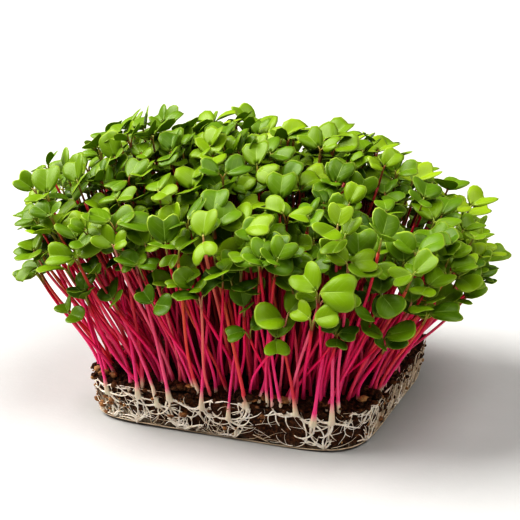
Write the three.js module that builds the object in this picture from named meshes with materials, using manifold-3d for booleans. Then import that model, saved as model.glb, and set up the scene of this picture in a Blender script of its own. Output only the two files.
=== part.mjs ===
// Radish microgreens, lifted out of the tray they grew in: a block of root-bound potting mix, the
// white root mat that the tray pressed against its sides, bark chips lying on it, and a dense
// stand of two-leaved seedlings. The seedlings stand in tufts of four that share one root crown.
// Millimetres, +Z up. The origin is at the middle of the flat underside, and -Y is the front.
import * as THREE from 'three';
import { mergeVertices } from 'three/addons/utils/BufferGeometryUtils.js';
import Module from 'manifold-3d';

// ---------------------------------------------------------------- driving dimensions
const BLOCK = {
  width: 120, // at the brim
  depth: 116,
  height: 18,
  corner: 20, // corner radius seen from above
  draft: 3, // how much narrower the foot is, on each side
  footRadius: 2.5, // rounding between the underside and the sides
  lump: 0.9, // height of the crumbs on the surface
};
const TUFTS = { rows: 7, perRow: 6, pitchX: 19.8, pitchY: 16.2, perTuft: 4, ring: 4.9, inset: 9.8 };
const CROWN = { margin: 2.3, depth: 8, gap: 0.3 }; // the root crown that a tuft shares
const CANOPY = {
  spreadX: 1.62, // how far the stems fan out, as a multiple of where they stand
  spreadY: 1.46,
  rounding: 0.7, // how much less those at the corners do
  shiftX: -3,
  shiftY: 3,
  peakX: -12, // the canopy is highest above this point
  peakY: 7,
  flatX: 0.95, // how much it falls sideways beside how it falls to the front and back
  top: 104, // height of the forks at the peak
  drop: 31, // how much lower they are at the front and back brims of the block
  furthest: 1.12, // past this share of the way out they get no lower
  scatter: 5, // sideways
  heightScatter: 9,
  light: [-0.12, -0.3], // how far the leaves turn to the light, in front and to the left
  outward: 0.45, // how far they turn away from the middle
  aside: 0.95, // and how far each turns its own way
};
const STEM = { halfWidth: 0.75, steps: 2, uprightFoot: 0.35, uprightFork: 0.25 };
const LEAF = { length: 13.4, width: 12.8, thickness: 0.8, fold: 0.26, arch: 0.14, sweep: 0.8 };
const LEAF_EDGE = [[0.32, 0.76], [0.66, 1], [0.97, 0.62]]; // u and v along one edge of the heart
const LEAF_NOTCH = 0.84; // u of the notch at the tip
const CLEARANCE = {
  tries: 160, // draws for each seedling, until one is this wide of all the others
  wide: 2.4,
  shrink: 0.3, // how much smaller and more scattered the last draws are
  reach: 50, // seedlings whose forks are further off can't touch
  leafRows: [0.16, 0.36, 0.56, 0.76, 0.94],
  leafCols: [-0.9, -0.45, 0, 0.45, 0.9],
  stemSamples: 40,
};
const ROOTS = { count: 26, radius: 0.65, proud: 1.5, wander: 3.2, ringHeight: 3.4, ringPoints: 44 };
const CHIPS = [
  // middle of each chip on the block, its length, width, thickness and turn in degrees
  { at: [20, -53.4], size: [6.6, 3.4, 2.6], turn: -62 },
  { at: [-55, -36], size: [6, 3.8, 2.4], turn: 75 },
  { at: [-55.5, -28.5], size: [5.5, 3.6, 2.6], turn: 110 },
  { at: [55, -32], size: [6.5, 3.4, 2.2], turn: 80 },
  { at: [0, 53], size: [6, 3.2, 2.4], turn: 75 },
];

// Seedlings at the edge that grew their own way: about where they stand, their fork, the way their pair of
// leaves faces, its turn and the leaves' rise in degrees, and their size.
const FEATURED = [
  { near: [10, -54], fork: [15, -63, 70], face: [0.15, -0.6, 0.78], turn: 28, rise: 34, size: 0.95 },
  { near: [-24, -54], fork: [-65, -60, 76], face: [-0.35, -0.25, 0.9], turn: 75, rise: 30, size: 1 },
  { near: [-17, -54], fork: [-35, -66, 84], face: [0.1, -0.3, 0.95], turn: 5, rise: 12, size: 1.1 },
  { near: [-9, -48], fork: [-16, -72, 56], face: [-0.1, -0.75, 0.65], turn: -35, rise: 20, size: 0.72 },
  { near: [48, -48], fork: [66, -60, 85], face: [0.5, 0.1, 0.85], turn: 100, rise: 40, size: 1 },
  { near: [41, -50], fork: [48, -74, 68], face: [0.1, -0.85, 0.5], turn: -12, rise: 10, size: 1.1 },
  { near: [44, -54], fork: [47, -77, 59], face: [0.05, -0.85, 0.5], turn: 2, rise: 8, size: 0.8 },
  { near: [56, 22], fork: [73, -5, 48], face: [0.3, -0.7, -0.2], turn: 70, rise: 15, size: 0.75 },
  { near: [-45, -52], fork: [-56, -65, 46], face: [-0.3, -0.6, 0.7], turn: -50, rise: 10, size: 0.75 },
  { near: [-53, -45], fork: [-76, -54, 60], face: [-0.4, -0.4, 0.8], turn: 60, rise: 15, size: 0.9 },
];

const COLOURS = {
  soil: { color: '#3a2418', roughness: 0.95 },
  roots: { color: '#e6dcc4', roughness: 0.6 },
  bark: { color: '#a8743a', roughness: 0.8 },
  seedling: { color: '#5f9a2c', roughness: 0.5 },
};

// ---------------------------------------------------------------- small helpers
const wasm = await Module();
wasm.setup();

const UP = new THREE.Vector3(0, 0, 1);
const vec = (x, y, z) => new THREE.Vector3(x, y, z);

/** A seeded source of numbers from 0 to 1. */
function randomSource(seed) {
  let state = seed >>> 0;
  return () => {
    state = (Math.imul(state, 1664525) + 1013904223) >>> 0;
    return state / 4294967296;
  };
}

/** A closed three.js geometry as a manifold-3d solid, its shared vertices merged. */
function solidOf(geometry) {
  const bare = new THREE.BufferGeometry();
  bare.setAttribute('position', geometry.getAttribute('position'));
  if (geometry.index) bare.setIndex(geometry.index);
  const merged = mergeVertices(bare, 1e-4);
  const corners = [];
  const index = merged.index.array;
  for (let i = 0; i < index.length; i += 3) {
    const [a, b, c] = [index[i], index[i + 1], index[i + 2]];
    if (a !== b && b !== c && c !== a) corners.push(a, b, c);
  }
  return new wasm.Manifold(
    new wasm.Mesh({
      numProp: 3,
      vertProperties: new Float32Array(merged.attributes.position.array),
      triVerts: new Uint32Array(corners),
    }),
  );
}

/** Flat or gently bent faces, each a list of corners counter-clockwise from outside, as one solid. */
function solidOfFaces(faces) {
  const positions = [];
  for (const [first, ...rest] of faces) {
    for (let i = 0; i + 1 < rest.length; i++) {
      for (const corner of [first, rest[i], rest[i + 1]]) positions.push(...corner.toArray());
    }
  }
  const geometry = new THREE.BufferGeometry();
  geometry.setAttribute('position', new THREE.Float32BufferAttribute(positions, 3));
  return solidOf(geometry);
}

/** A manifold-3d solid as a named mesh. */
function meshOf(name, solid, material) {
  const { vertProperties, triVerts, numProp } = solid.getMesh();
  const positions = new Float32Array((vertProperties.length / numProp) * 3);
  for (let i = 0; i < positions.length / 3; i++) {
    positions.set(vertProperties.subarray(i * numProp, i * numProp + 3), i * 3);
  }
  const geometry = new THREE.BufferGeometry();
  geometry.setAttribute('position', new THREE.BufferAttribute(positions, 3));
  geometry.setIndex(new THREE.BufferAttribute(triVerts, 1));
  geometry.computeVertexNormals();
  const mesh = new THREE.Mesh(geometry, new THREE.MeshStandardMaterial(material));
  mesh.name = name;
  return mesh;
}

const union = (solids) => solids.reduce((whole, next) => whole.add(next));

/** The regular polygon that a tube is swept from. */
function roundSection(radius, sides) {
  const corners = [];
  for (let i = 0; i < sides; i++) {
    const angle = (2 * Math.PI * i) / sides;
    corners.push(new THREE.Vector2(radius * Math.cos(angle), radius * Math.sin(angle)));
  }
  return new THREE.Shape(corners);
}

function tube(curve, radius, sides, steps) {
  const section = roundSection(radius, sides);
  return solidOf(new THREE.ExtrudeGeometry(section, { extrudePath: curve, steps, bevelEnabled: false }));
}

// ---------------------------------------------------------------- the block of potting mix
/** Distance from the axis to the brim of the rounded block in a direction, in millimetres. */
function brimDistance(angle) {
  const halfX = BLOCK.width / 2;
  const halfY = BLOCK.depth / 2;
  const power = (2 * halfX) / BLOCK.corner; // a superellipse with about that corner radius
  const c = Math.abs(Math.cos(angle)) / halfX;
  const s = Math.abs(Math.sin(angle)) / halfY;
  return (c ** power + s ** power) ** (-1 / power);
}

/** Crumbs and hollows of the potting mix, from -1 to 1, at a place on its surface. */
function lumps(x, y, z) {
  return (
    0.5 * Math.sin(x * 0.41 + 1.7 * Math.sin(y * 0.23)) * Math.cos(y * 0.37 + z * 0.3) +
    0.3 * Math.sin(x * 0.83 - y * 0.71 + z * 0.5) +
    0.2 * Math.cos(x * 1.3 + y * 1.1 - z * 0.9)
  );
}

/** Height of the block's top face at a place on it. */
const topHeight = (x, y) => BLOCK.height + BLOCK.lump * lumps(x, y, BLOCK.height);

/** How far the side stands in from the brim at a height: the foot rounding and the tray's draft. */
function sideInset(z) {
  const slope = BLOCK.draft * (1 - z / BLOCK.height);
  const under = Math.max(0, 1 - z / BLOCK.footRadius);
  return slope + BLOCK.footRadius * (1 - Math.sqrt(1 - under * under));
}

/** The block as a lathe turned to the rounded outline, with its surface in lumps. */
function pottingMix() {
  const segments = 40;
  const profile = [
    [0, 0], [0.98, 0], [1, 1], [1, 5], [1, 10], [1, 15.5],
    [0.965, BLOCK.height], [0.68, BLOCK.height], [0.34, BLOCK.height], [0, BLOCK.height],
  ]; // share of the outline, height
  const geometry = new THREE.LatheGeometry(
    profile.map(([share, z]) => new THREE.Vector2(share, z)),
    segments,
  );
  geometry.rotateX(Math.PI / 2);
  const position = geometry.getAttribute('position');
  for (let i = 0; i < position.count; i++) {
    const share = Math.hypot(position.getX(i), position.getY(i));
    const angle = Math.atan2(position.getY(i), position.getX(i));
    const z = position.getZ(i);
    const onTop = z > BLOCK.height - 0.01;
    const outline = brimDistance(angle) - (onTop ? 0 : sideInset(z));
    const x = share * outline * Math.cos(angle);
    const y = share * outline * Math.sin(angle);
    const lump = z < 0.01 ? 0 : BLOCK.lump * lumps(x, y, z);
    const side = onTop ? 0 : lump * 0.6;
    position.setXYZ(
      i,
      x + side * Math.cos(angle),
      y + side * Math.sin(angle),
      onTop ? topHeight(x, y) : z,
    );
  }
  return solidOf(geometry);
}

// ---------------------------------------------------------------- the seedlings
/** The middle of a tuft, moved in from the brim if its root crown would break out of the side. */
function insideBrim(x, y) {
  const furthest = brimDistance(Math.atan2(y, x)) - TUFTS.inset;
  const share = Math.min(1, furthest / Math.max(1, Math.hypot(x, y)));
  return [x * share, y * share];
}

/** Where the tufts stand: rows of six and five in turn, each a ring of seedlings' feet. */
function tuftPlaces(random) {
  const tufts = [];
  for (let row = 0; row < TUFTS.rows; row++) {
    const inRow = TUFTS.perRow - (row % 2);
    for (let column = 0; column < inRow; column++) {
      const [x, y] = insideBrim(
        (column - (inRow - 1) / 2) * TUFTS.pitchX,
        (row - (TUFTS.rows - 1) / 2) * TUFTS.pitchY,
      );
      const first = random() * 2 * Math.PI;
      const feet = [];
      for (let k = 0; k < TUFTS.perTuft; k++) {
        const angle = first + (2 * Math.PI * k) / TUFTS.perTuft;
        const ring = TUFTS.ring * (0.85 + 0.2 * random());
        feet.push([x + ring * Math.cos(angle), y + ring * Math.sin(angle)]);
      }
      tufts.push({ feet, seedlings: [] });
    }
  }
  return tufts;
}

/** Gives each featured seedling the nearest free foot in a tuft. */
function plantFeatured(tufts) {
  const places = tufts.flatMap((tuft) => tuft.feet.map(([x, y], k) => ({ tuft, k, x, y })));
  for (const { near, fork, face, turn, rise, size } of FEATURED) {
    const distance = ({ x, y }) => Math.hypot(x - near[0], y - near[1]);
    const free = places.filter(({ tuft, k }) => !tuft.seedlings[k]);
    const { tuft, k, x, y } = free.reduce((best, next) => (distance(next) < distance(best) ? next : best));
    tuft.seedlings[k] = {
      base: vec(x, y, BLOCK.height),
      fork: vec(...fork),
      face: vec(...face).normalize(),
      turn: THREE.MathUtils.degToRad(turn),
      rise: THREE.MathUtils.degToRad(rise),
      size,
    };
  }
}

/** One way that a seedling rooted at [x, y] could have grown, smaller and further aside if crowded. */
function drawSeedling([x, y], crowding, random) {
  const away = Math.hypot(
    (CANOPY.flatX * (x - CANOPY.peakX)) / (BLOCK.width / 2),
    (y - CANOPY.peakY) / (BLOCK.depth / 2),
  );
  const spread = Math.max(1, Math.hypot(x / (BLOCK.width / 2), y / (BLOCK.depth / 2))) ** -CANOPY.rounding;
  const angle = random() * 2 * Math.PI;
  const scatter = CANOPY.scatter * (1 + crowding) * Math.sqrt(random());
  const lower = CANOPY.drop * Math.min(away, CANOPY.furthest) ** 2.2;
  const fork = vec(
    x * CANOPY.spreadX * spread + CANOPY.shiftX + scatter * Math.cos(angle),
    y * CANOPY.spreadY * spread + CANOPY.shiftY + scatter * Math.sin(angle),
    CANOPY.top - lower + CANOPY.heightScatter * (2 * random() - 1),
  );
  const outward = vec(x / BLOCK.width, y / BLOCK.depth, 0).multiplyScalar(2);
  const aside = vec(random() - 0.5, random() - 0.5, 0);
  const face = aside
    .multiplyScalar(CANOPY.aside)
    .addScaledVector(outward, CANOPY.outward)
    .add(vec(...CANOPY.light, 1))
    .normalize();
  const turn = random() * Math.PI;
  const rise = 0.15 + 0.55 * random() ** 2;
  const size = (0.88 + 0.26 * random()) * (1 - crowding);
  return { base: vec(x, y, BLOCK.height), fork, face, turn, rise, size };
}

/** The way a stem grows where its bend has turned its lean towards straight up by a share. */
const growth = ({ base, fork }, upright) => fork.clone().sub(base).normalize().lerp(UP, upright).normalize();

/** The stem's curve, from the crown to the fork. */
function stemCurve(seedling) {
  const { base, fork } = seedling;
  const reach = fork.distanceTo(base) / 3;
  const above = base.clone().addScaledVector(growth(seedling, STEM.uprightFoot), reach);
  const below = fork.clone().addScaledVector(growth(seedling, STEM.uprightFork), -reach);
  return new THREE.CubicBezierCurve3(base, above, below, fork);
}

/** The way a seedling's first leaf points, square to the way that the pair faces. */
function leafDirection({ face, turn }) {
  const across = vec(0, 1, 0).cross(face).normalize();
  const along = face.clone().cross(across);
  return across.multiplyScalar(Math.cos(turn)).addScaledVector(along, Math.sin(turn));
}

/** The two leaves' own axes: out along the leaf, across it, and out of its upper face. */
function leafAxes(seedling) {
  const { face, rise, size } = seedling;
  const sweep = growth(seedling, STEM.uprightFork).projectOnPlane(face).multiplyScalar(LEAF.sweep);
  return [1, -1].map((way) => {
    const out = leafDirection(seedling).multiplyScalar(way).add(sweep).normalize();
    const axis = out.clone().multiplyScalar(Math.cos(rise)).addScaledVector(face, Math.sin(rise));
    const normal = face.clone().multiplyScalar(Math.cos(rise)).addScaledVector(out, -Math.sin(rise));
    const side = normal.clone().cross(axis);
    const scale = way > 0 ? size : 0.86 * size; // the inner seed leaf is the smaller one
    return { axis, side, normal, length: LEAF.length * scale, width: LEAF.width * scale };
  });
}

/** A point of a leaf: u runs from the fork to the tip, v from edge to edge, both in leaf sizes. */
function leafPoint(fork, leaf, u, v, above = 0) {
  const height = leaf.width * 0.5 * LEAF.fold * Math.abs(v) - leaf.length * LEAF.arch * u * u + above;
  return fork
    .clone()
    .addScaledVector(leaf.axis, leaf.length * u)
    .addScaledVector(leaf.side, leaf.width * 0.5 * v)
    .addScaledVector(leaf.normal, height);
}

/** Half the leaf's width at u, as a share: narrow at the fork, and broadest past the middle. */
const leafSpan = (u) => Math.sqrt(Math.max(0, 1 - ((u - 0.64) / 0.64) ** 2)) * Math.min(1, u * 2.6);

/** Points spread over a seedling's leaves and upper stem, close enough together to feel a crossing. */
function samplePoints(seedling) {
  const points = [];
  for (const leaf of leafAxes(seedling)) {
    for (const u of CLEARANCE.leafRows) {
      for (const v of CLEARANCE.leafCols) points.push(leafPoint(seedling.fork, leaf, u, v * leafSpan(u)));
    }
  }
  const stem = stemCurve(seedling);
  const count = CLEARANCE.stemSamples;
  for (let i = Math.round(count / 4); i <= count; i++) points.push(stem.getPoint(i / count));
  return points;
}

/** The least distance between two sets of points, no more than a limit. */
function leastGap(points, others, limit) {
  let least = limit * limit;
  for (const p of points) {
    for (const q of others) least = Math.min(least, p.distanceToSquared(q));
  }
  return Math.sqrt(least);
}

/** Grows the other seedlings in turn, each the clearest of those already there from a few draws. */
function growSeedlings(tufts, random) {
  const grown = tufts
    .flatMap((tuft) => tuft.seedlings.filter(Boolean))
    .map((seedling) => ({ ...seedling, points: samplePoints(seedling) }));
  for (const tuft of tufts) {
    for (let k = 0; k < TUFTS.perTuft; k++) {
      if (tuft.seedlings[k]) continue;
      let best = null;
      for (let attempt = 0; attempt < CLEARANCE.tries && !(best?.gap >= CLEARANCE.wide); attempt++) {
        const crowding = (CLEARANCE.shrink * attempt) / CLEARANCE.tries;
        const seedling = drawSeedling(tuft.feet[k], crowding, random);
        const points = samplePoints(seedling);
        const near = grown.filter((other) => other.fork.distanceTo(seedling.fork) < CLEARANCE.reach);
        const gap = near.reduce((least, other) => leastGap(points, other.points, least), CLEARANCE.wide);
        if (!best || gap > best.gap) best = { ...seedling, points, gap };
      }
      grown.push(best);
      tuft.seedlings[k] = best;
    }
  }
}

/** Four corners of a stem's section, the first two on the +b side and the first and last on the +a side. */
function stemSection(centre, a, b) {
  return [[1, 1], [-1, 1], [-1, -1], [1, -1]].map(([alongA, alongB]) =>
    centre
      .clone()
      .addScaledVector(a, alongA * STEM.halfWidth)
      .addScaledVector(b, alongB * STEM.halfWidth),
  );
}

/** Sections of a stem from its foot to the top of the fork, one side always towards the first leaf. */
function stemSections(seedling) {
  const curve = stemCurve(seedling);
  const out = leafDirection(seedling);
  const sections = [];
  for (let i = 0; i < STEM.steps; i++) {
    const tangent = i ? curve.getTangent(i / STEM.steps) : UP;
    const a = out.clone().addScaledVector(tangent, -out.dot(tangent)).normalize();
    sections.push(stemSection(curve.getPoint(i / STEM.steps), a, tangent.clone().cross(a)));
  }
  for (const above of [-0.5, 0.5]) {
    const centre = seedling.fork.clone().addScaledVector(seedling.face, above * LEAF.thickness);
    sections.push(stemSection(centre, out, seedling.face.clone().cross(out)));
  }
  return sections;
}

/** Side k of a stem between two sections. */
const stemSide = (lower, upper, k) => [lower[k], lower[(k + 1) % 4], upper[(k + 1) % 4], upper[k]];

/** A seed leaf that grows from side k of the fork: a broad heart, folded along its midrib. */
function leafFaces(fork, leaf, lower, upper, k) {
  const outline = [...LEAF_EDGE.map(([u, v]) => [u, -v]), [LEAF_NOTCH, 0], ...LEAF_EDGE.toReversed()];
  const skin = (section, above) => [
    section[k],
    ...outline.map(([u, v]) => leafPoint(fork, leaf, u, v, above * LEAF.thickness)),
    section[(k + 1) % 4],
  ];
  const [top, bottom] = [skin(upper, 0.5), skin(lower, -0.5)];
  const last = top.length - 1;
  const notch = last / 2;
  const faces = [[0, notch, last]];
  for (let i = 1; i < last - 1; i++) faces.push([i < notch ? 0 : last, i, i + 1]); // one half, then the other
  const rim = top.slice(1).map((corner, i) => [bottom[i], bottom[i + 1], corner, top[i]]);
  return [
    ...faces.map((face) => face.map((i) => top[i])),
    ...faces.map((face) => face.map((i) => bottom[i]).reverse()),
    ...rim,
  ];
}

function seedlingFaces(seedling, sections) {
  const [lower, upper] = sections.slice(-2);
  const faces = [upper, stemSide(lower, upper, 0), stemSide(lower, upper, 2)];
  for (let i = 0; i + 2 < sections.length; i++) {
    for (let k = 0; k < 4; k++) faces.push(stemSide(sections[i], sections[i + 1], k));
  }
  const [first, second] = leafAxes(seedling);
  faces.push(...leafFaces(seedling.fork, first, lower, upper, 3));
  faces.push(...leafFaces(seedling.fork, second, lower, upper, 1));
  return faces;
}

/** Corners of the smallest convex outline round some flat points, counter-clockwise. */
function convexOutline(points) {
  const sorted = [...points].sort((a, b) => a[0] - b[0] || a[1] - b[1]);
  const turns = ([ax, ay], [bx, by], [cx, cy]) => (bx - ax) * (cy - ay) - (by - ay) * (cx - ax);
  const halfOutline = (list) => {
    const kept = [];
    for (const p of list) {
      while (kept.length > 1 && turns(kept.at(-2), kept.at(-1), p) <= 0) kept.pop();
      kept.push(p);
    }
    return kept.slice(0, -1);
  };
  return [...halfOutline(sorted), ...halfOutline(sorted.reverse())];
}

/** The outline of a tuft's root crown, larger by some room, with a corner outside each foot. */
function crownOutline({ feet }, room) {
  const middle = (axis) => feet.reduce((sum, foot) => sum + foot[axis], 0) / feet.length;
  const corners = feet.map(([x, y]) => {
    const out = Math.atan2(y - middle(1), x - middle(0));
    const reach = CROWN.margin + room * Math.SQRT2;
    return [x + reach * Math.cos(out), y + reach * Math.sin(out)];
  });
  return convexOutline(corners).map(([x, y]) => new THREE.Vector2(x, y));
}

/** The plain hole in the mix that a tuft's root crown stands in. */
function crownHole(tuft) {
  const shape = new THREE.Shape(crownOutline(tuft, CROWN.gap));
  const bottom = BLOCK.height - CROWN.depth - CROWN.gap;
  const depth = CROWN.depth + 4;
  return solidOf(new THREE.ExtrudeGeometry(shape, { depth, bevelEnabled: false }).translate(0, 0, bottom));
}

/** The root crown's faces, its top left open where the stems grow out of it. */
function crownFaces(tuft, feet) {
  const outline = crownOutline(tuft, 0);
  const holes = feet.map((section) => section.map(({ x, y }) => new THREE.Vector2(x, y)).reverse());
  const flat = [...outline, ...holes.flat()];
  const at = ({ x, y }, z) => vec(x, y, z);
  const top = THREE.ShapeUtils.triangulateShape(outline, holes).map((face) =>
    face.map((i) => at(flat[i], BLOCK.height)),
  );
  const bottom = BLOCK.height - CROWN.depth;
  const sides = outline.map((corner, i) => {
    const next = outline[(i + 1) % outline.length];
    return [at(corner, bottom), at(next, bottom), at(next, BLOCK.height), at(corner, BLOCK.height)];
  });
  return [...top, ...sides, outline.map((corner) => at(corner, bottom)).reverse()];
}

/** The seedlings of a tuft on the root crown that they share. */
function tuftSolid(tuft) {
  const stems = tuft.seedlings.map(stemSections);
  const seedlings = tuft.seedlings.flatMap((seedling, k) => seedlingFaces(seedling, stems[k]));
  return solidOfFaces([...crownFaces(tuft, stems.map((sections) => sections[0])), ...seedlings]);
}

// ---------------------------------------------------------------- the root mat
/** A point on the outside of the block's side, some way out of it. */
function sidePoint(angle, z, out) {
  const distance = brimDistance(angle) - sideInset(z) + out;
  return vec(distance * Math.cos(angle), distance * Math.sin(angle), z);
}

/** Roots that run down the sides and join the ring of roots along the foot. */
function rootMat(random) {
  const ringPoints = [];
  for (let i = 0; i < ROOTS.ringPoints; i++) {
    ringPoints.push(sidePoint((2 * Math.PI * i) / ROOTS.ringPoints, ROOTS.ringHeight, ROOTS.proud));
  }
  const ring = new THREE.CatmullRomCurve3(ringPoints, true);
  const pieces = [tube(ring, ROOTS.radius * 1.3, 3, ROOTS.ringPoints)];
  const pitch = (2 * Math.PI) / ROOTS.count;
  for (let i = 0; i < ROOTS.count; i++) {
    const angle = (i + 0.3 * random()) * pitch;
    const wander = () => (ROOTS.wander * (random() - 0.5)) / (BLOCK.width / 2);
    const path = new THREE.CatmullRomCurve3([
      sidePoint(angle + wander(), BLOCK.height - 3.2, ROOTS.proud),
      sidePoint(angle + wander(), BLOCK.height * 0.55, ROOTS.proud),
      sidePoint(angle + wander(), ROOTS.ringHeight - 0.4, ROOTS.proud),
    ]);
    pieces.push(tube(path, ROOTS.radius, 3, 2));
  }
  return union(pieces);
}

// ---------------------------------------------------------------- the bark chips
/** A flat splinter of bark with a ridge along it, larger by some room on every side. */
function barkChip({ at: [x, y], size: [length, width, thickness], turn }, room) {
  const shape = new THREE.Shape([
    new THREE.Vector2(-length / 2 - room, -width * 0.15 - room),
    new THREE.Vector2(-length * 0.2, -width / 2 - room),
    new THREE.Vector2(length * 0.3, -width * 0.4 - room),
    new THREE.Vector2(length / 2 + room, room),
    new THREE.Vector2(length * 0.15, width / 2 + room),
    new THREE.Vector2(-length * 0.35, width * 0.35 + room),
  ]);
  const geometry = new THREE.ExtrudeGeometry(shape, { depth: thickness + 2 * room, bevelEnabled: false });
  geometry.translate(0, 0, -thickness / 2 - room);
  geometry.rotateZ(THREE.MathUtils.degToRad(turn));
  geometry.translate(x, y, topHeight(x, y) + thickness * 0.3);
  return solidOf(geometry);
}

// ---------------------------------------------------------------- the whole stand
const random = randomSource(68);
const tufts = tuftPlaces(random);
plantFeatured(tufts);
growSeedlings(tufts, random);

const microgreens = new THREE.Group();
microgreens.name = 'radish_microgreens';

let soil = pottingMix();
for (const tuft of tufts) soil = soil.subtract(crownHole(tuft));
for (const chip of CHIPS) soil = soil.subtract(barkChip(chip, CROWN.gap));
microgreens.add(meshOf('soil_block', soil, COLOURS.soil));
microgreens.add(meshOf('root_mat', rootMat(random), COLOURS.roots));
CHIPS.forEach((chip, i) => microgreens.add(meshOf(`bark_chip_${i + 1}`, barkChip(chip, 0), COLOURS.bark)));
tufts.forEach((tuft, i) => {
  const name = `seedling_tuft_${String(i + 1).padStart(2, '0')}`;
  microgreens.add(meshOf(name, tuftSolid(tuft), COLOURS.seedling));
});

export default microgreens;
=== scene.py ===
"""Looks of the radish microgreens: a block of root-bound potting mix, lifted out of its tray, with a
dense stand of two-leaved seedlings.

Lengths are in millimetres in the part's own frame until a mesh is made, which is in metres. -Y is the
front and +Z is up. The seedlings of the frame are grown again here by the same rule and the same draws,
so that each fine tuft stands where its plain solid is.
"""
import math
from types import SimpleNamespace

import bmesh
import bpy
import numpy as np
from mathutils import Matrix, Vector, noise


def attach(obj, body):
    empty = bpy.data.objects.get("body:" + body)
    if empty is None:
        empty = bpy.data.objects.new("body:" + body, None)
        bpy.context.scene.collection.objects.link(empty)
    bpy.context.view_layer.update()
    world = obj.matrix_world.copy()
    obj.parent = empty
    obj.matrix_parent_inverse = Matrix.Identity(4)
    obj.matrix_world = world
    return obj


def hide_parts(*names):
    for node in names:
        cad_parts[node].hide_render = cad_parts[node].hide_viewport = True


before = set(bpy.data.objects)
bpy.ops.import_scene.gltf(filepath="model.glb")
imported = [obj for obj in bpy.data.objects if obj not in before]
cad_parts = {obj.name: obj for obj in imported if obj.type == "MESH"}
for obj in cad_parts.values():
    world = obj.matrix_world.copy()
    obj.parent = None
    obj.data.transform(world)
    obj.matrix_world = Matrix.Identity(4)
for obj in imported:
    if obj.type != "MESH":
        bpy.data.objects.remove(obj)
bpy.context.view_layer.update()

# -------- the part's own driving dimensions
# A tuple that is handed to Draws.more gives the least, how much more by chance, and how rare the most is.
MM = 0.001
BLOCK = SimpleNamespace(width=120, depth=116, height=18, corner=20, draft=3, foot_radius=2.5, lump=0.9)
TUFTS = SimpleNamespace(
    rows=7, per_row=6, pitch_x=19.8, pitch_y=16.2, per_tuft=4, ring=4.9, even=(0.85, 0.2), inset=9.8,
)
CANOPY = SimpleNamespace(
    spread_x=1.62, spread_y=1.46, rounding=0.7, shift_x=-3, shift_y=3, peak_x=-12, peak_y=7, flat_x=0.95,
    top=104, drop=31, fall=2.2, furthest=1.12, scatter=5, height_scatter=9,
    light=(-0.12, -0.3), outward=0.45, aside=0.95,
)
UPRIGHT = SimpleNamespace(foot=0.35, fork=0.25)  # how far a stem's bend turns its lean towards straight up
LEAF = SimpleNamespace(
    length=13.4, width=12.8, fold=0.26, arch=0.14, sweep=0.8,
    rise=(0.15, 0.55, 2), size=(0.88, 0.26),
    second=0.86,  # size of a pair's second leaf beside its first
)
CLEARANCE = SimpleNamespace(
    tries=160, wide=2.4, shrink=0.3, reach=50, stem_samples=40,
    leaf_rows=(0.16, 0.36, 0.56, 0.76, 0.94), leaf_cols=(-0.9, -0.45, 0, 0.45, 0.9),
    widest=0.64, opening=2.6,  # where a plain leaf is widest, and how fast it opens at its foot
)
PART_SEED = 68
CHIPS = (  # middle of each bark chip on the block, its length, width, thickness and turn in degrees
    ((20, -53.4), (6.6, 3.4, 2.6), -62),
    ((-55, -36), (6, 3.8, 2.4), 75),
    ((-55.5, -28.5), (5.5, 3.6, 2.6), 110),
    ((55, -32), (6.5, 3.4, 2.2), 80),
    ((0, 53), (6, 3.2, 2.4), 75),
)
FEATURED = (  # near, fork, the way the pair faces, turn and rise in degrees, size
    ((10, -54), (15, -63, 70), (0.15, -0.6, 0.78), 28, 34, 0.95),
    ((-24, -54), (-65, -60, 76), (-0.35, -0.25, 0.9), 75, 30, 1),
    ((-17, -54), (-35, -66, 84), (0.1, -0.3, 0.95), 5, 12, 1.1),
    ((-9, -48), (-16, -72, 56), (-0.1, -0.75, 0.65), -35, 20, 0.72),
    ((48, -48), (66, -60, 85), (0.5, 0.1, 0.85), 100, 40, 1),
    ((41, -50), (48, -74, 68), (0.1, -0.85, 0.5), -12, 10, 1.1),
    ((44, -54), (47, -77, 59), (0.05, -0.85, 0.5), 2, 8, 0.8),
    ((56, 22), (73, -5, 48), (0.3, -0.7, -0.2), 70, 15, 0.75),
    ((-45, -52), (-56, -65, 46), (-0.3, -0.6, 0.7), -50, 10, 0.75),
    ((-53, -45), (-76, -54, 60), (-0.4, -0.4, 0.8), 60, 15, 0.9),
)

UP = np.array([0.0, 0.0, 1.0])
ROUND = 6.28  # a full turn in radians, near enough for what is drawn by chance


class Draws:
    """A seeded source of numbers from 0 to 1, the same as the part's."""

    def __init__(self, seed):
        self.state = seed

    def __call__(self):
        self.state = (self.state * 1664525 + 1013904223) & 0xFFFFFFFF
        return self.state / 4294967296

    def between(self, low, high):
        return low + (high - low) * self()

    def more(self, least, extra, power=1):
        """The least and up to so much more. With a power above 1, the higher values are rarer."""
        return least + extra * self() ** power

    def angle(self):
        return self() * 2 * math.pi

    def aside(self):
        """A number from -1 to 1."""
        return self.between(-1, 1)


def unit(v):
    return v / np.linalg.norm(v)


def lerp(a, b, t):
    return a + (b - a) * t


def smooth_step(low, high, value):
    t = np.clip((value - low) / (high - low), 0, 1)
    return t * t * (3 - 2 * t)


# -------- the block's form
def brim_distance(angle):
    """Distance from the axis to the brim of the rounded block in a direction."""
    half_x, half_y = BLOCK.width / 2, BLOCK.depth / 2
    power = 2 * half_x / BLOCK.corner
    c = np.abs(np.cos(angle)) / half_x
    s = np.abs(np.sin(angle)) / half_y
    return (c**power + s**power) ** (-1 / power)


def brim_beyond(x, y):
    """Distance from the axis to the brim, measured through a place."""
    return brim_distance(math.atan2(y, x))


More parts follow.
